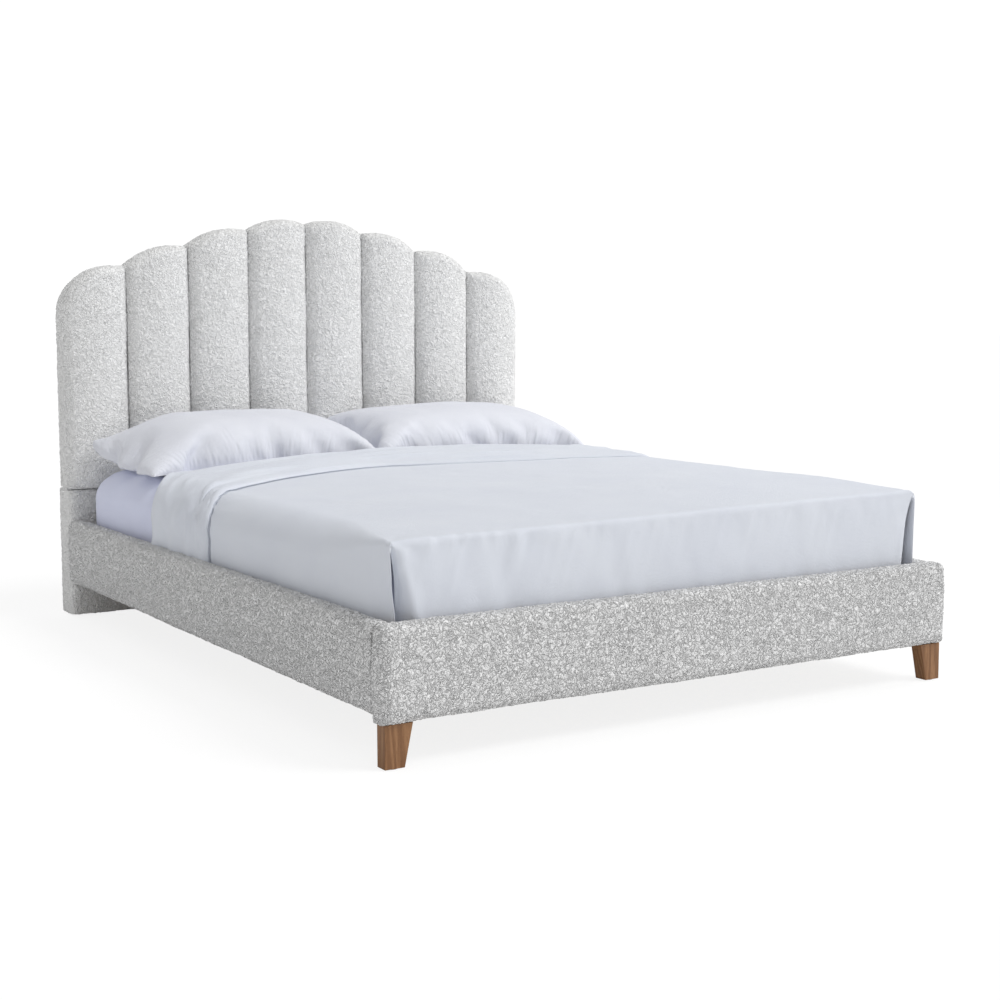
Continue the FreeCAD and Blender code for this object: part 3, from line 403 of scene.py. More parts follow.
SKINS = {
    "boucle": boucle_material("boucle", 1.0, BOUCLE_PAINTED_HOLLOW_SHADE, BOUCLE_LIGHT),
    # A lighter copy of the boucle, with paler hollows and less relief, for the pads, edge band and lower
    # panel: painted light for the shade at the headboard.
    "pad_boucle_painted_brighter": boucle_material("pad_boucle_painted_brighter", 0.65, PAD_PAINTED_HOLLOW_SHADE, PAD_LIGHT),
    "oak": wood_material("oak", (0.335, 0.172, 0.078), (0.21, 0.097, 0.039), "Z", 0.3, 0.5, 0.12),
    "pine": wood_material("pine", (0.62, 0.45, 0.27), (0.48, 0.31, 0.16), "X"),
    "slat_wood": wood_material("slat_wood", (0.66, 0.5, 0.32), (0.52, 0.36, 0.2), "X"),
    "plywood": wood_material("plywood", (0.58, 0.43, 0.27), (0.44, 0.3, 0.17), "X"),
    "back_cloth": woven_material("back_cloth", (0.55, 0.54, 0.52), 900),
    "webbing": woven_material("webbing", (0.72, 0.71, 0.67), 500),
    "felt": fleck_material("felt", (0.16, 0.13, 0.11), 700, 0.95, 0.6 * MM, 0.4),
    "glide_plastic": fleck_material("glide_plastic", (0.07, 0.07, 0.075), 900, 0.45, 0.15 * MM),
    "leveller_steel": metal_material("leveller_steel", (0.62, 0.62, 0.63), 0.34),
    "bracket_steel": metal_material("bracket_steel", (0.5, 0.51, 0.53), 0.42),
    "bolt_steel": metal_material("bolt_steel", (0.4, 0.4, 0.42), 0.38),
    "mattress_ticking": woven_material("mattress_ticking", (0.74, 0.74, 0.75), 420),
    "sheet_cotton": cotton_material("sheet_cotton", (0.69, 0.72, 0.89), (0.73, 0.76, 0.92)),
    "duvet_cotton": cotton_material("duvet_cotton", (0.70, 0.73, 0.80), (0.73, 0.76, 0.82)),
    "band_cotton": cotton_material("band_cotton", (0.69, 0.72, 0.79), (0.72, 0.75, 0.81)),
    "pillow_cotton": cotton_material("pillow_cotton", (0.71, 0.725, 0.79), (0.75, 0.765, 0.82)),
}


# ---------------------------------------------------------------- boucle upholstery

CURL_SIZE = 6.4 * MM
CURL_HEIGHT = 2.8 * MM
PAD_CROWN = 25 * MM
PAD_EDGE_DROP = 11 * MM
PANEL_SWELL = 11 * MM
RAIL_SWELL = 3 * MM


def grow_pile(piece, seed):
    """Lifts loops of yarn out of a covered piece, about its even surface, and makes it a little lumpy."""
    mesh, even = piece.data, 0.6
    points, normals = points_of(mesh), normals_of(mesh)
    lumps = fractal(points, 0.06, seed + 9, 2) * 0.7 * MM
    rise = (yarn(points, CURL_SIZE, seed) - even) * CURL_HEIGHT + lumps
    move_points(mesh, points + normals * rise[:, None])


def groove(distance, width=4 * MM, depth=3.5 * MM):
    """How far a sewn or butted seam draws the padding in, at a distance from it."""
    return -depth * np.exp(-(distance / width) ** 2)


def padded_out(piece, swell):
    """Moves every point by what swell gives for the points and normals."""
    points, normals = points_of(piece.data), normals_of(piece.data)
    move_points(piece.data, points + swell(points, normals))


def covered(name, seed, voxel, hidden, swell=None, skin="boucle"):
    """Boucle over foam, from a CAD cover: even quads, foam swell, hidden sides joined, pile grown."""
    piece = remeshed(f"{name}_boucle", name, voxel, finer=1)
    if swell:
        padded_out(piece, swell)
    cull_hidden(piece, hidden)
    grow_pile(piece, seed)
    finish_piece(piece, "bed_frame", SKINS[skin], [name])


def cover_pads(voxel):
    """The eight channels, each fullest along its middle."""
    for number in range(1, 9):
        name = f"channel_pad_{number}"
        low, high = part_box(name)
        middle, half, back = (low.x + high.x) / 2, (high.x - low.x) / 2, high.y

        def swell(points, normals, middle=middle, half=half, back=back):
            across = np.clip(np.abs(points[:, 0] - middle) / half, 0, 1)
            ahead = smooth_step(back - points[:, 1], 0, 0.06)
            full = (PAD_CROWN * (1 - across**2) - PAD_EDGE_DROP) * smooth_step(-normals[:, 1], 0.0, 0.6)
            swollen = normals * (2 * MM * noise(points, 0.16, number))[:, None]
            swollen[:, 1] -= ahead * full
            return swollen

        def behind(centre, normal, back=back):
            return normal.y > 0.98 and centre.y > back - 2 * MM

        covered(name, 10 * number, voxel, behind, swell, "pad_boucle_painted_brighter")


def cover_rails(voxel):
    """Side rails and foot rail: fuller in the middle of each face, drawn in where they meet."""
    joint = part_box("foot_rail_cover")[1].y
    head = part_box("lower_panel_cover")[0].y

    def swell(points, normals):
        level = np.clip((points[:, 2] - 0.1) / 0.2, 0, 1)
        full = RAIL_SWELL * np.sin(np.pi * level) * (1 - np.abs(normals[:, 2]))
        seams = groove(points[:, 1] - joint) + groove(points[:, 1] - head)
        return normals * (full + seams + 1.5 * MM * noise(points, 0.14, 5))[:, None]

    for side in ("left", "right"):
        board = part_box(f"side_rail_board_{side}")

        def behind(centre, normal, board=board):
            return (board[0].x - MM < centre.x < board[1].x + MM
                    and board[0].z - 2 * MM < centre.z < board[1].z + 2 * MM)

        covered(f"side_rail_cover_{side}", 121 + len(side), voxel, behind, swell)
    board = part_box("foot_rail_board")

    def inside(centre, normal):
        return (centre.y > board[0].y - MM and abs(centre.x) < board[1].x + MM
                and board[0].z - MM < centre.z < board[1].z + MM)

    covered("foot_rail_cover", 141, voxel, inside, swell)


def cover_lower_panel(voxel):
    """The panel under the headboard, its front filled out towards the rails."""
    low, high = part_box("lower_panel_cover")

    def swell(points, normals):
        return np.array([0, -PANEL_SWELL, 0]) * smooth_step(-normals[:, 1], 0.0, 0.6)[:, None]

    def inside(centre, normal):
        return centre.y > low.y + 30 * MM and abs(centre.x) < high.x - 14 * MM

    covered("lower_panel_cover", 111, voxel, inside, swell, "pad_boucle_painted_brighter")


def cover_bed():
    """Every upholstered piece of the frame, in boucle."""
    pad, rail = ((4 * MM, 4.4 * MM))
    cover_pads(pad)
    covered("headboard_edge_band", 101, 3.5 * MM, lambda centre, normal: False, skin="pad_boucle_painted_brighter")
    cover_lower_panel(rail)
    cover_rails(rail)


# ---------------------------------------------------------------- bedding


def simulate(piece, frames, pressure, stiffness, bending):
    """Blows a closed cloth up, with no gravity, and keeps the shape it takes."""
    cloth = piece.modifiers.new("cloth", "CLOTH")
    settings = cloth.settings
    settings.quality = 5
    settings.mass = 0.3
    settings.tension_stiffness = settings.compression_stiffness = stiffness
    settings.shear_stiffness = stiffness / 2
    settings.bending_stiffness = bending
    settings.use_pressure = True
    settings.uniform_pressure_force = pressure
    settings.effector_weights.gravity = 0.0
    cloth.point_cache.frame_start, cloth.point_cache.frame_end = 1, frames
    cloth.collision_settings.use_collision = False
    scene = bpy.context.scene
    for moment in range(1, frames + 1):
        scene.frame_set(moment)
    applied(piece)
    scene.frame_set(1)


def subdivided(piece, levels=1):
    """Splits a piece's faces again and rounds them."""
    rounder = piece.modifiers.new("finer", "SUBSURF")
    rounder.levels = rounder.render_levels = levels
    applied(piece)
    shade_smooth(piece.data)


def grid_faces(rows, columns, start=0):
    """Quads over a grid of points that are numbered row by row."""
    first = start + np.arange(rows - 1)[:, None] * columns + np.arange(columns - 1)[None, :]
    return np.stack([first, first + 1, first + columns + 1, first + columns], axis=-1).reshape(-1, 4)


PILLOWCASE = (0.82, 0.56)
STUFFED = (0.765, 0.485, 0.19)


def pillow_cover(name, spacing, seed):
    """A flat pillowcase: two layers sewn round the edge, cut fuller along its sides than its corners.

    Each point keeps its place on the case, u and v from -1 to 1, for the puckers.
    """
    width, depth = PILLOWCASE
    columns, rows = int(width / spacing) + 1, int(depth / spacing) + 1
    u, v = np.meshgrid(np.linspace(-1, 1, columns), np.linspace(-1, 1, rows))
    u, v = u.ravel(), v.ravel()
    x = u * width / 2 * (0.90 + 0.10 * (1 - v * v))
    y = v * depth / 2 * (0.88 + 0.12 * (1 - u * u))
    flat = np.stack([x, y, np.zeros(len(u))], axis=1)
    rim = (np.abs(u) > 0.9999) | (np.abs(v) > 0.9999)
    lift = np.where(rim, 0.0, 6 * MM)
    uneven = noise(flat, 0.05, seed) * 1.2 * MM
    top, under = flat.copy(), flat.copy()
    top[:, 2] += lift + np.where(rim, 0, uneven)
    under[:, 2] -= lift
    number = np.full(len(flat), -1)
    inner = np.flatnonzero(~rim)
    number[rim] = np.flatnonzero(rim)
    number[inner] = len(flat) + np.arange(len(inner))
    faces = grid_faces(rows, columns)
    points = np.concatenate([top, under[inner]])
    piece = piece_from(name, points, np.concatenate([faces, number[faces][:, ::-1]]))
    for label, values in (("u", u), ("v", v)):
        kept = piece.data.attributes.new(label, "FLOAT", "POINT")
        kept.data.foreach_set("value", np.concatenate([values, values[inner]]).astype(np.float32))
    return piece


def kept_values(mesh, label):
    """The numbers that each point of a mesh keeps under a label."""
    values = np.zeros(len(mesh.vertices), np.float32)
    mesh.attributes[label].data.foreach_get("value", values)
    return values.astype(float)


def pillow_puckers(points, u, v, seed):
    """Short gathers that run in from the seams, and long soft creases."""
    width, depth = PILLOWCASE
    to_end, to_side = (1 - np.abs(u)) * width / 2, (1 - np.abs(v)) * depth / 2
    along_side = np.stack([u * width / 2, 0.12 * to_side, 0.3 * np.sign(points[:, 2])], axis=1)
    along_end = np.stack([v * depth / 2, 0.12 * to_end, 0.3 * np.sign(points[:, 2])], axis=1)
    reach = 0.055 + 0.03 * noise(along_side, 0.05, seed + 3)
    side = noise(along_side, 0.007, seed) * np.exp(-to_side / reach) * smooth_step(to_side, 0, 0.02)
    end = noise(along_end, 0.008, seed + 1) * np.exp(-to_end / (1.6 * reach)) * smooth_step(to_end, 0, 0.02)
    ends = smooth_step(to_side / (to_side + to_end + 1e-6), 0.35, 0.65)
    side, end = side * (1 - ends), end * ends
    slant = np.stack([points[:, 0] + 0.5 * points[:, 1], 0.3 * points[:, 1], points[:, 2]], axis=1)
    creases = -np.abs(noise(slant, 0.07, seed + 7)) * smooth_step(to_side, 0.0, 0.06)
    return (side * 2.8 + end * 3.4 + creases * 2.0 + fractal(points, 0.2, seed + 9, 2) * 2.0) * MM


def lying_pillow(points, u, slack):
    """A blown-up pillow in its real size, flat underneath and full on top.

    Also gives each point's share of the way from the front edge to the back.
    """
    points = points - (points.max(0) + points.min(0)) / 2
    points *= np.array(STUFFED) / (points.max(0) - points.min(0))
    back = np.clip(points[:, 1] / 0.5 + 0.5, 0, 1)
    crest = points[:, 2].max()
    fuller = np.clip(points[:, 2] / crest, 0, 1) ** 0.6 * crest * (1.45 + 0.45 * back)
    fuller *= 1 - slack * smooth_step(-u, 0.3, 1.0)
    points[:, 2] = np.where(points[:, 2] > 0, fuller, points[:, 2] * (0.12 + 0.7 * back**3))
    return points, back


def turned(points, degrees):
    """Points turned about the upright axis, anticlockwise from above."""
    turn = math.radians(degrees)
    across, along = (math.cos(turn), -math.sin(turn), 0), (math.sin(turn), math.cos(turn), 0)
    return points @ np.array([across, along, (0, 0, 1)]).T


def settled(heights, rest, softness=4 * MM):
    """Heights with everything below rest pressed up to it, and a soft change near it."""
    return rest + np.logaddexp(0, (heights - rest) / softness) * softness


def pillow(side, seed, shift, turn, slack=0.0):
    """A stuffed pillow: blown up by simulation, lying flat, with its back edge curled up the headboard.

    Its left end is thinner by the share slack.
    """
    low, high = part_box(f"pillow_{side}")
    spacing = 9 * MM
    piece = pillow_cover(f"pillow_{side}_stuffed", spacing, seed)
    simulate(piece, 24, pressure=5.0, stiffness=7.0, bending=0.1)
    smoother = piece.modifiers.new("smoother", "SMOOTH")
    smoother.factor, smoother.iterations = 0.5, 24
    subdivided(piece, 2)
    mesh = piece.data
    u, v = kept_values(mesh, "u"), kept_values(mesh, "v")
    points, back = lying_pillow(points_of(mesh), u, slack)
    move_points(mesh, points)
    points += normals_of(mesh) * pillow_puckers(points, u, v, seed)[:, None]
    hem = smooth_step(np.abs(u), 0.975, 1.0) * smooth_step(v, 0.2, 0.9)
    points[:, 2] -= 10 * MM * hem
    points[:, 2] += 84 * MM * back**6
    points = turned(points, turn)
    points += np.array([(low.x + high.x) / 2 + shift, (low.y + high.y) / 2 - 10 * MM, low.z + 12 * MM])
    points[:, 2] = settled(points[:, 2], low.z + 1.5 * MM)
    move_points(mesh, points)
    finish_piece(piece, f"pillow_{side}", SKINS["pillow_cotton"], [f"pillow_{side}"])


class DuvetShape:
    """The duvet's outer surface: a top that bends down both sides, and a front flap.

    A place across the cloth is a number u: 0 to 1 from the bed's middle to the bend, 1 to 2 round the bend
    and 2 to 3 down the side, and below 0 on the left. A place along it runs from 0 at the foot through fold,
    where the head end is turned back, to length. At the foot the flaps part at a slit from an apex on each
    bend, and fold in round it.
    """

    def __init__(self):
        low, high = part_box("duvet")
        self.half, self.foot = high.x, low.y + 4 * MM
        self.hem, self.edge = low.z + 2 * MM, low.z + 212 * MM
        self.front_bend = 11 * MM
        self.apex_turn = math.radians(58)
        self.apex = 1 + self.apex_turn / (math.pi / 2)
        self.rail_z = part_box("side_rail_cover_left")[1].z
        self.fold, self.length = 1.22, 1.55
        self.reach = self.half + self.edge - self.hem - 0.04

    def columns(self):
        """Places across the cloth, 5 to 8 mm apart."""
        flat, turn, hang = 8 * MM / 0.67, 10 * MM / 0.15, 7 * MM / 0.12
        half = spaced([(0, 1, flat), (1, self.apex, turn), (self.apex, 2, turn), (2, 3, hang)])
        return np.concatenate([-half[:0:-1], half])

    def rows(self):
        """Places along the cloth, closest at the foot and by the fold."""
        fold = self.fold
        return spaced([(0, 0.12, 5 * MM), (0.12, fold - 0.06, 8 * MM), (fold - 0.06, fold - 0.012, 4 * MM),
                       (fold - 0.012, fold + 0.016, 1.6 * MM), (fold + 0.016, fold + 0.06, 4 * MM),
                       (fold + 0.06, self.length, 8 * MM)])

    def level(self, u, depth):
        """Height of the top before it bends down: lowest at the foot on the left."""
        lean = np.clip(u, -1, 1)
        slope = np.where(lean < 0, 8.5, 14 - 5 * smooth_step(depth, 0.1, 0.7))
        behind_foot = (9 + 6 * lean) * smooth_step(depth, 0, 0.35)
        return self.edge + (slope * lean + behind_foot) * MM

    def foot_bend(self, u):
        """Radius of the bend where it meets the foot."""
        return np.where(u < 0, 13 * MM, 22 * MM)

    def profile(self, u, depth):
        """Distance out, height and how far it has turned down, at a place on the cloth."""
        start, full = self.foot_bend(u), np.where(u < 0, 96 * MM, 62 * MM)
        bend = start + (full - start) * smooth_step(depth, 0.0, 0.42)
        place = np.abs(u)
        turn = np.clip(place - 1, 0, 1) * np.pi / 2
        out = np.minimum(place, 1) * (self.half - bend) + bend * np.sin(turn)
        edge = self.level(u, depth)
        hang = np.clip(place - 2, 0, 1) * (edge - bend - self.hem)
        return out, edge - bend * (1 - np.cos(turn)) - hang, turn

    def crown(self, out, depth, behind=0.0):
        """How far the top swells up; more behind the fold, where the head end is turned back on it."""
        rise = np.clip(1 - (out / self.half) ** 2, 0, 1)
        even = (4 + 3 * smooth_step(depth, 0, 0.5)) * rise**0.8
        return (even + 25 * smooth_step(behind, 0, 0.15) * rise**1.4) * MM

    def apex_z(self, u):
        """Height of the slit's upper end."""
        return self.level(u, 0) - self.foot_bend(u) * (1 - math.cos(self.apex_turn))

    def slit(self, u, z):
        """At a height: how far down the slit it is (1 at the rail), the side's inset, and the opening."""
        top = self.apex_z(u)
        down = np.clip((top - z) / (top - self.rail_z), 0, 1.25)
        inset = np.where(u < 0, 9 * MM, 2 * MM) * down
        wide = 1.0 + 3.5 * np.sin(np.pi * np.clip(down, 0, 1)) ** 3
        return down, inset, wide * MM * smooth_step(down, 0, 0.04)

    def fold_line(self, u):
        """y of the turned-back edge, bowed to the head, and y of the duvet's end, at a place across."""
        x = np.sign(u) * self.profile(u, self.fold)[0]
        peak_x, peak_y = -0.08, 0.285
        left = peak_y - 0.30 * np.clip((peak_x - x) / 0.68, 0, 1.1) ** 1.9
        right = peak_y - 0.225 * np.clip((x - peak_x) / 0.83, 0, 1.1) ** 1.1
        crease = np.where(x < peak_x, left, right) - 0.012 * smooth_step(np.abs(u), 1.3, 2.2)
        return crease, 0.495 - 0.11 * smooth_step(np.abs(u), 0.85, 1.75)

    def top(self, u, along):
        """Points of the top and the sides."""
        crease, end = self.fold_line(u)
        first = self.foot + (crease - self.foot) * along / self.fold
        rest = crease + (end - crease) * (along - self.fold) / (self.length - self.fold)
        depth = np.where(along < self.fold, first, rest) - self.foot
        out, z, turn = self.profile(u, depth)
        inset = self.slit(u, z)[1]
        side = turn >= self.apex_turn - 1e-6
        front = self.front_bend * (1 - smooth_step(turn, 0, self.apex_turn)) + 0.5 * MM
        ahead = depth + front * (1 - smooth_step(depth, 0, 0.1))
        draw = (1 - smooth_step(depth, 0, 0.15)) ** 2
        out = np.where(side, out - inset * draw, out)
        y = np.where(side, depth, ahead)
        behind = depth + self.foot - crease
        z = z + self.crown(out, depth, behind) * (turn < np.pi / 2) * np.cos(turn)
        return np.stack([np.sign(u) * out, self.foot + y, z], axis=-1)

    def front(self, u, share):
        """Points of the front flap: share runs from 0 at the top edge to 1 at the hem.

        By the slit the flap is drawn in behind the side.
        """
        out, z_top, turn = self.profile(u, 0 * u)
        apex_out = self.half - self.foot_bend(u) * (1 - math.sin(self.apex_turn))
        z_top = z_top + self.crown(out, 0) * np.cos(turn)
        bend = self.front_bend * (1 - smooth_step(turn, 0, self.apex_turn)) + 0.5 * MM
        run = share * (bend * np.pi / 2 + z_top - bend - self.hem)
        angle = np.minimum(run / bend, np.pi / 2)
        z = z_top - bend * (1 - np.cos(angle)) - np.maximum(run - bend * np.pi / 2, 0)
        y = bend * (1 - np.sin(angle))
        down, inset, opening = self.slit(u, z)
        away = np.minimum(apex_out - out, 0.4) + np.maximum(self.apex - np.abs(u), 0) * 8 * MM
        width = (8 + 50 * down**0.6) * MM
        recess = 38 * MM * down**0.7
        draw = np.clip(1 - away / width, 0, 1) ** 1.2
        ridge = np.exp(-(((away - width) / (16 * MM)) ** 2)) * 3 * MM * down
        low = smooth_step(share, 0, 0.06)
        near = np.exp(-((away / 0.03) ** 2))
        x = out - (inset - (self.half - apex_out)) * (1 - smooth_step(away, 0, 0.25)) * low
        x = x - near * low * (0.52 * recess + opening)
        y = y + (recess * draw - ridge - 7 * MM * down) * low
        return np.stack([np.sign(u) * x, self.foot + y, z], axis=-1)

    def by_slit(self, points):
        """Nearness to a slit: 1 beside it, falling to 0 about 40 mm away."""
        side = np.sign(points[:, 0])
        distance = np.hypot(np.abs(points[:, 0]) - self.half, points[:, 1] - self.foot)
        below = smooth_step(self.apex_z(side) - points[:, 2], 0, 0.02)
        return below * np.exp(-((distance / 0.024) ** 2))


def spaced(parts):
    """Places along a line: each part is (start, end, spacing)."""
    steps = [np.linspace(a, b, max(int(round((b - a) / gap)), 1) + 1)[:-1] for a, b, gap in parts]
    return np.append(np.concatenate(steps), parts[-1][1])


def ripples(points, centre, first, second, reach, count, seed, depth):
    """Small folds that fan out from a pinched place and die away, over the surface of two directions."""
    away = points - np.array(centre)
    distance = np.linalg.norm(away, axis=1)
    bearing = np.arctan2(away @ np.array(second), away @ np.array(first) + 1e-9)
    wobble = noise(points, 0.05, seed) * 0.5
    fan = np.sin(count * bearing + 3 * wobble)
    return depth * fan * smooth_step(distance, 0.0, 0.035) * np.exp(-distance / reach)


def duvet_wrinkles(shape, points):
    """How far each point of the duvet stands off its even shape."""
    x, y, z = points.T
    on_top = smooth_step(z, shape.edge - 0.03, shape.edge)
    hanging = 1 - on_top
    broad = fractal(points * np.array([1, 0.7, 1]), 0.34, 21, 3) * 2.2 * MM
    slant = np.stack([x + 0.5 * y, 0.25 * y, z], axis=1)
    soft = -np.abs(noise(slant, 0.16, 23)) * 2.4 * MM * on_top
    fine = fractal(points, 0.05, 31, 2) * 0.45 * MM
    front = smooth_step(-y, -shape.foot - 0.03, -shape.foot - 0.005)
    lean = x + 0.22 * (z - shape.edge)
    drape = noise(np.stack([lean, y * 0.2, z * 0.16], axis=1), 0.042, 41)
    long_drape = noise(np.stack([x * 0.5, y, z * 0.1 + x * 0.1], axis=1), 0.085, 43)
    near_left = np.exp(-(((x + 0.60) / 0.26) ** 2))
    front_folds = front * hanging * drape * (1.5 + 2.6 * near_left) * MM
    side_folds = (1 - front) * hanging * long_drape * 3.0 * MM
    rim = np.exp(-(((z - shape.edge + 0.012) / 0.022) ** 2)) * front
    puckers = rim * noise(np.stack([x, 0 * x, 0.2 * z], axis=1), 0.018, 47) * (1.0 + 2.0 * near_left) * MM
    below = np.clip(shape.edge - z, 0, None)
    lines = np.stack([x + 0.35 * below, 0.1 * y, 0.08 * z], axis=1)
    drawn = front * hanging * noise(lines, 0.017, 91) * np.exp(-below / 0.11) * (2.0 + 5.0 * near_left) * MM
    corners = 0
    for side in (-1, 1):
        pinch = (side * shape.half, shape.foot + 0.01, shape.apex_z(side))
        corners = corners + ripples(points, pinch, (1, 0, 0), (0, 0.6, 1), 0.055, 7, 51 + side, 2.6 * MM)
    turn_back = (-shape.half + 0.02, shape.fold_line(np.array([-1.4]))[0][0] + 0.03, shape.edge - 0.05)
    bend = ripples(points, turn_back, (0, -1, 0), (0.7, 0, 1), 0.085, 17, 61, 2.4 * MM)
    folds = front_folds + side_folds + puckers + drawn
    return broad * (0.4 + 0.6 * on_top) + soft + fine + folds + corners + bend


def thicken(piece, thickness, weights=None):
    """Gives a cloth surface its thickness, inwards; weights are each point's share of it."""
    wall = piece.modifiers.new("wall", "SOLIDIFY")
    wall.thickness, wall.offset = thickness, -1
    wall.use_even_offset = False
    if weights is not None:
        group = piece.vertex_groups.new(name="thick")
        for level in np.unique(np.round(weights, 2)):
            members = np.flatnonzero(np.round(weights, 2) == level)
            group.add(members.tolist(), float(level), "REPLACE")
        wall.vertex_group = "thick"
    applied(piece)
    piece.vertex_groups.clear()
    shade_smooth(piece.data)


def duvet():
    """The duvet over the mattress, and its head end turned back in a band."""
    shape = DuvetShape()
    across, along = shape.columns(), shape.rows()
    u, v = np.meshgrid(across, along)
    top = shape.top(u.ravel(), v.ravel())
    inside = np.flatnonzero(np.abs(across) <= shape.apex + 1e-6)
    shares = np.linspace(0, 1, 34) ** 1.15
    flap_u, flap_share = np.meshgrid(across[inside], shares[1:])
    flap = shape.front(flap_u.ravel(), flap_share.ravel())
    faces = grid_faces(len(along), len(across))
    numbers = np.vstack([inside, len(top) + np.arange(len(flap)).reshape(len(shares) - 1, len(inside))])
    corner = numbers[:-1, :-1], numbers[1:, :-1], numbers[1:, 1:], numbers[:-1, 1:]
    flap_faces = np.stack(corner, axis=-1).reshape(-1, 4)
    piece = piece_from("duvet_cover", np.concatenate([top, flap]), np.concatenate([faces, flap_faces]))
    mesh = piece.data
    normals = normals_of(mesh)
    points = points_of(mesh)
    points += normals * duvet_wrinkles(shape, points)[:, None]
    pressed = np.zeros(len(points))
    pressed[:len(top)] = fold_strength(u.ravel()) * np.exp(-(((v.ravel() - shape.fold) / (5 * MM)) ** 2))
    points -= normals * (5 * MM * pressed)[:, None]
    move_points(mesh, points)

    outer = points_of(mesh)[:len(top)].reshape(len(along), len(across), 3)
    facing = normals_of(mesh)[:len(top)].reshape(len(along), len(across), 3)
    crown = np.clip((points[:, 2] - shape.edge + 9 * MM) / (30 * MM), 0, 1)
    thicken(piece, 26 * MM, (0.30 + 0.68 * crown) * (1 - 0.8 * shape.by_slit(points)))
    finish_piece(piece, "duvet", SKINS["duvet_cotton"], ["duvet"])
    turned_back_band(shape, across, along, outer, facing)


def fold_strength(u):
    """How strongly the turned-back edge shows across the cloth: less on the right."""
    return 0.45 + 0.55 * smooth_step(-u, -0.3, 0.9)


def turned_back_band(shape, across, along, outer, facing):
    """The head end turned back over the duvet: a layer with a rolled front edge and long soft creases."""
    kept = along >= shape.fold - 3.5 * MM
    behind = along[kept] - along[kept][0]
    u, d = np.meshgrid(across, behind)
    lip = np.sqrt(np.clip(1 - (1 - np.clip(d / (11 * MM), 0, 1)) ** 2, 0, 1))
    lift = 1.6 * MM + 8.5 * MM * lip * fold_strength(u)
    flat = np.stack([u.ravel() * 0.62, d.ravel(), np.zeros(u.size)], axis=1)
    creases = np.clip(noise(flat * np.array([0.13, 1.0, 1]), 0.032, 71) + 0.2, 0, 1) * 8 * MM
    bunch = np.exp(-(((np.abs(flat[:, 0]) - 0.75) / 0.09) ** 2)) * np.exp(-flat[:, 1] / 0.06)
    gathers = bunch * np.sin(flat[:, 1] / (4.6 * MM) + 3 * noise(flat, 0.03, 73)) * 2.0 * MM
    ease = smooth_step(flat[:, 1], 0.004, 0.03)
    end = smooth_step(-flat[:, 1], -flat[:, 1].max(), -flat[:, 1].max() + 0.02)
    lift = lift.ravel() * (0.3 + 0.7 * end) + (creases + gathers) * ease + 3.0 * MM * ease
    points = outer[kept].reshape(-1, 3) + facing[kept].reshape(-1, 3) * lift[:, None]
    piece = piece_from("duvet_turn_back", points, grid_faces(len(behind), len(across)))
    thicken(piece, 1.8 * MM)
    finish_piece(piece, "duvet", SKINS["band_cotton"])


def squared_head(points, high, corner=0.1):
    """Draws the head corners out squarer, widens the head end a little, and keeps it clear of the pads."""
    across, along = np.abs(points[:, 0]) - high.x + corner, points[:, 1] - high.y + corner
    inside = (across > 0) & (along > 0)
    reach = np.maximum(np.hypot(across, along), 1e-9)
    share = (across**4 + along**4) ** 0.25
    stretch = np.where(inside, reach / np.maximum(share, 1e-9), 1.0)
    moved = points.copy()
    moved[:, 0] = np.sign(points[:, 0]) * (high.x - corner + across * stretch)
    moved[:, 1] = high.y - corner + along * stretch
    moved[:, 0] *= 1 + 0.011 * smooth_step(points[:, 1], 0.35, 0.9)
    moved[:, 1] -= 18 * MM * smooth_step(points[:, 1], high.y - 0.25, high.y)
    return moved


def mattress():
    """The mattress, a little domed: blown up by simulation and held to 2 mm of its blocked shape."""
    piece = remeshed("mattress_block", "mattress", 12 * MM)
    rest = points_of(piece.data)
    simulate(piece, 8, pressure=1.2, stiffness=30.0, bending=4.0)
    moved = points_of(piece.data) - rest
    size = np.linalg.norm(moved, axis=1, keepdims=True)
    points = rest + moved * np.minimum(1, 2 * MM / np.maximum(size, 1e-9))
    low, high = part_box("mattress")
    points = squared_head(points, high)
    inward = np.minimum(high.x - np.abs(points[:, 0]), high.y - points[:, 1])
    shoulder = np.exp(-((inward / 0.075) ** 2)) * smooth_step(points[:, 2], low.z + 0.1, high.z)
    points[:, 2] -= 9 * MM * shoulder
    points[:, 2] = np.maximum(points[:, 2], low.z)
    move_points(piece.data, points)
    subdivided(piece)
    finish_piece(piece, "mattress", SKINS["mattress_ticking"], ["mattress"])
    return piece


def fitted_sheet(block):
    """The fitted sheet, drawn tight over the finished mattress, with small folds at its corners."""
    low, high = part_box("fitted_sheet")
    cover = new_object("fitted_sheet_cloth", block.data.copy())
    work = bmesh.new()
    work.from_mesh(cover.data)
    bmesh.ops.delete(work, geom=[v for v in work.verts if v.co.z < low.z + 4 * MM], context="VERTS")
    work.to_mesh(cover.data)
    work.free()
    shade_smooth(cover.data)
    points, normals = points_of(cover.data), normals_of(cover.data)
    to_side = high.x - np.abs(points[:, 0])
    to_end = np.minimum(points[:, 1] - low.y, high.y - points[:, 1])
    close = np.exp(-np.maximum(to_side, 0) / 0.2) * np.exp(-np.maximum(to_end, 0) / 0.2)
    stretched = np.stack([points[:, 0], points[:, 1], points[:, 2] * 0.3], axis=1)
    folds = np.abs(noise(stretched, 0.035, 81)) * 3.0 * MM * close
    side = 1 - smooth_step(points[:, 2], high.z - 0.09, high.z - 0.02)
    slack = np.abs(noise(stretched * np.array([1, 0.6, 1]), 0.11, 83)) * 1.6 * MM * side
    move_points(cover.data, points + normals * (2.6 * MM + folds + slack)[:, None])
    thicken(cover, 1.2 * MM)
    finish_piece(cover, "mattress", SKINS["sheet_cotton"], ["fitted_sheet"])


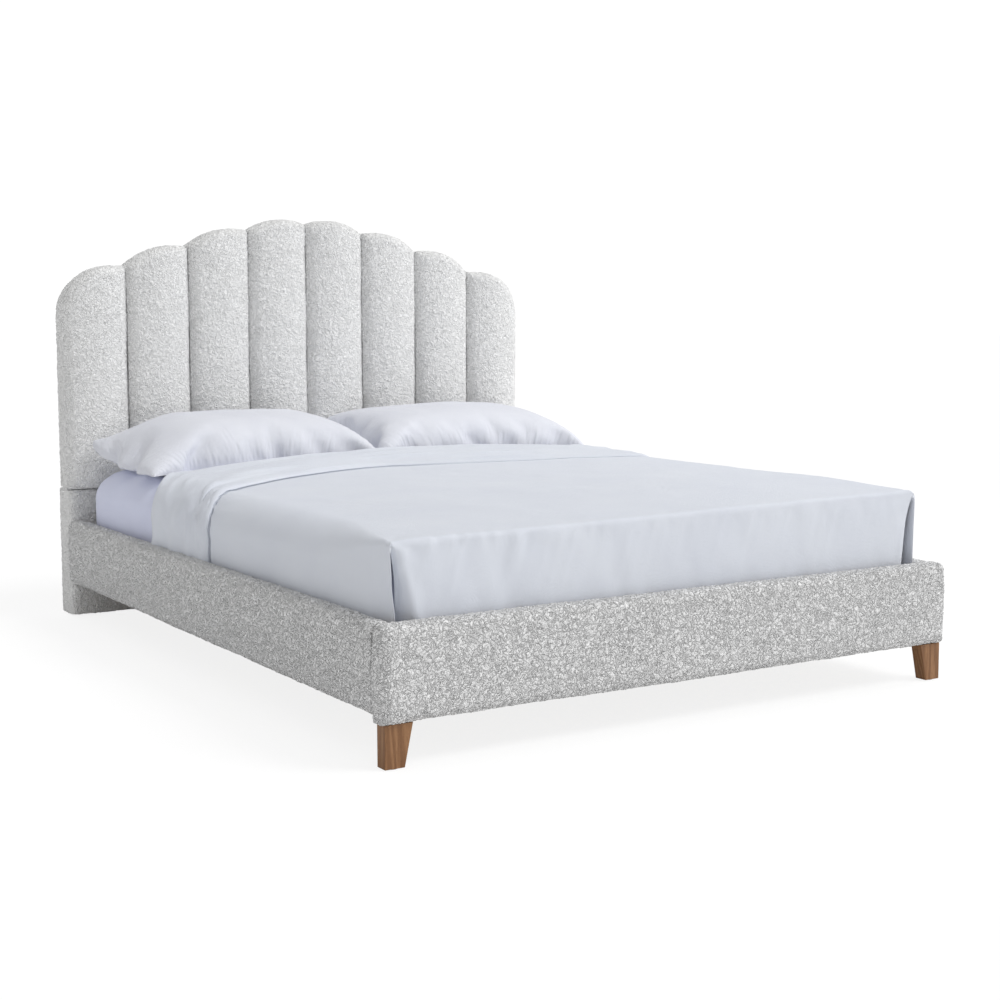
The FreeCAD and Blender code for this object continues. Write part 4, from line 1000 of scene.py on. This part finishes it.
def made_bed():
    """The mattress, sheet, duvet and pillows; only the left pillow is slack at its end."""
    fitted_sheet(mattress())
    duvet()
    pillow("left", seed=3, shift=20 * MM, turn=1.5, slack=0.55)
    pillow("right", seed=8, shift=14 * MM, turn=-1.0)


# ---------------------------------------------------------------- camera and light


def camera():
    """A long lens off the front left corner, a little above the bed, looking slightly down."""
    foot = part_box("foot_rail_cover")[0].y
    down, right = 5.886, 33.029
    eye = bpy.data.objects.new("camera", bpy.data.cameras.new("camera"))
    bpy.context.scene.collection.objects.link(eye)
    eye.location = (-2.3543, foot - 2.9880, 0.9443)
    eye.rotation_euler = (math.radians(90 - down), 0, math.radians(-right))
    eye.data.sensor_width = 36
    eye.data.lens = 59.713
    eye.data.shift_x = -0.0487
    eye.data.shift_y = -0.0152
    eye.data.clip_end = 200
    bpy.context.scene.camera = eye


def broad_sun(name, turn, height, strength, angle):
    """Even soft light from a patch of sky: turn degrees to the right of the foot end, height degrees up."""
    light = bpy.data.objects.new(name, bpy.data.lights.new(name, "SUN"))
    light.data.energy, light.data.angle = strength, math.radians(angle)
    light.rotation_euler = (math.radians(90 - height), 0, math.radians(turn))
    bpy.context.scene.collection.objects.link(light)


def soft_box(name, place, aim, size, power):
    """A round lamp size metres across at a place, turned to where it aims."""
    light = bpy.data.objects.new(name, bpy.data.lights.new(name, "AREA"))
    light.data.shape = "DISK"
    light.data.size, light.data.energy = size, power
    light.location = place
    light.rotation_euler = (Vector(aim) - Vector(place)).to_track_quat("-Z", "Y").to_euler()
    bpy.context.scene.collection.objects.link(light)


def studio():
    """White surroundings, a broad soft key from the front right, a fill by the headboard, a white floor."""
    scene = bpy.context.scene
    scene.view_settings.view_transform = "Standard"
    world = bpy.data.worlds.new("studio")
    scene.world = world
    world.use_nodes = True
    tree = world.node_tree
    tree.nodes.clear()
    light = node(tree, "ShaderNodeBackground", {"Color": (1, 1, 1, 1), "Strength": 0.59})
    seen = node(tree, "ShaderNodeBackground", {"Color": (1, 1, 1, 1), "Strength": 1.05})
    path = node(tree, "ShaderNodeLightPath")
    mixed = node(tree, "ShaderNodeMixShader", {0: path.outputs["Is Camera Ray"], 1: light.outputs[0],
                                               2: seen.outputs[0]})
    out = node(tree, "ShaderNodeOutputWorld")
    tree.links.new(mixed.outputs[0], out.inputs["Surface"])
    broad_sun("key", turn=48, height=50, strength=1.44, angle=22)
    soft_box("head_fill", (3.2, -0.6, 2.4), (0.1, 1.0, 0.8), 1.8, 28)
    floor()


def floor():
    """A large white floor that takes only a faint soft shadow."""
    made, tree, shader = new_material("studio_floor", Roughness=0.9)
    tone = noise_of(tree, object_place(tree), 1.2, 2)
    tree.links.new(ramp(tree, tone, [(0.3, grey(0.93)), (0.7, grey(0.95))]), shader.inputs["Base Color"])
    glow = node(tree, "ShaderNodeEmission", {"Color": (1, 1, 1, 1), "Strength": 1.055})
    path = node(tree, "ShaderNodeLightPath")
    share = node(tree, "ShaderNodeMath", {0: path.outputs["Is Camera Ray"], 1: 0.8}, operation="MULTIPLY")
    mixed = node(tree, "ShaderNodeMixShader", {0: share.outputs[0], 1: shader.outputs[0],
                                               2: glow.outputs[0]})
    tree.links.new(mixed.outputs[0], tree.nodes["Material Output"].inputs["Surface"])
    half = 60.0
    corners = np.array([[-half, -half, 0], [half, -half, 0], [half, half, 0], [-half, half, 0]], float)
    ground = piece_from("studio_floor", corners, np.array([[0, 1, 2, 3]]))
    ground.data.materials.append(made)


def dress_frame():
    """Gives every CAD node that stays in view its own procedural finish."""
    for part in frame["record"]["subparts"]:
        mesh, slot = NODES[part["node"]].data, part["material_slot"]
        mesh.materials.clear()
        mesh.materials.append(SKINS[slot])


camera()
studio()
dress_frame()
cover_bed()
made_bed()
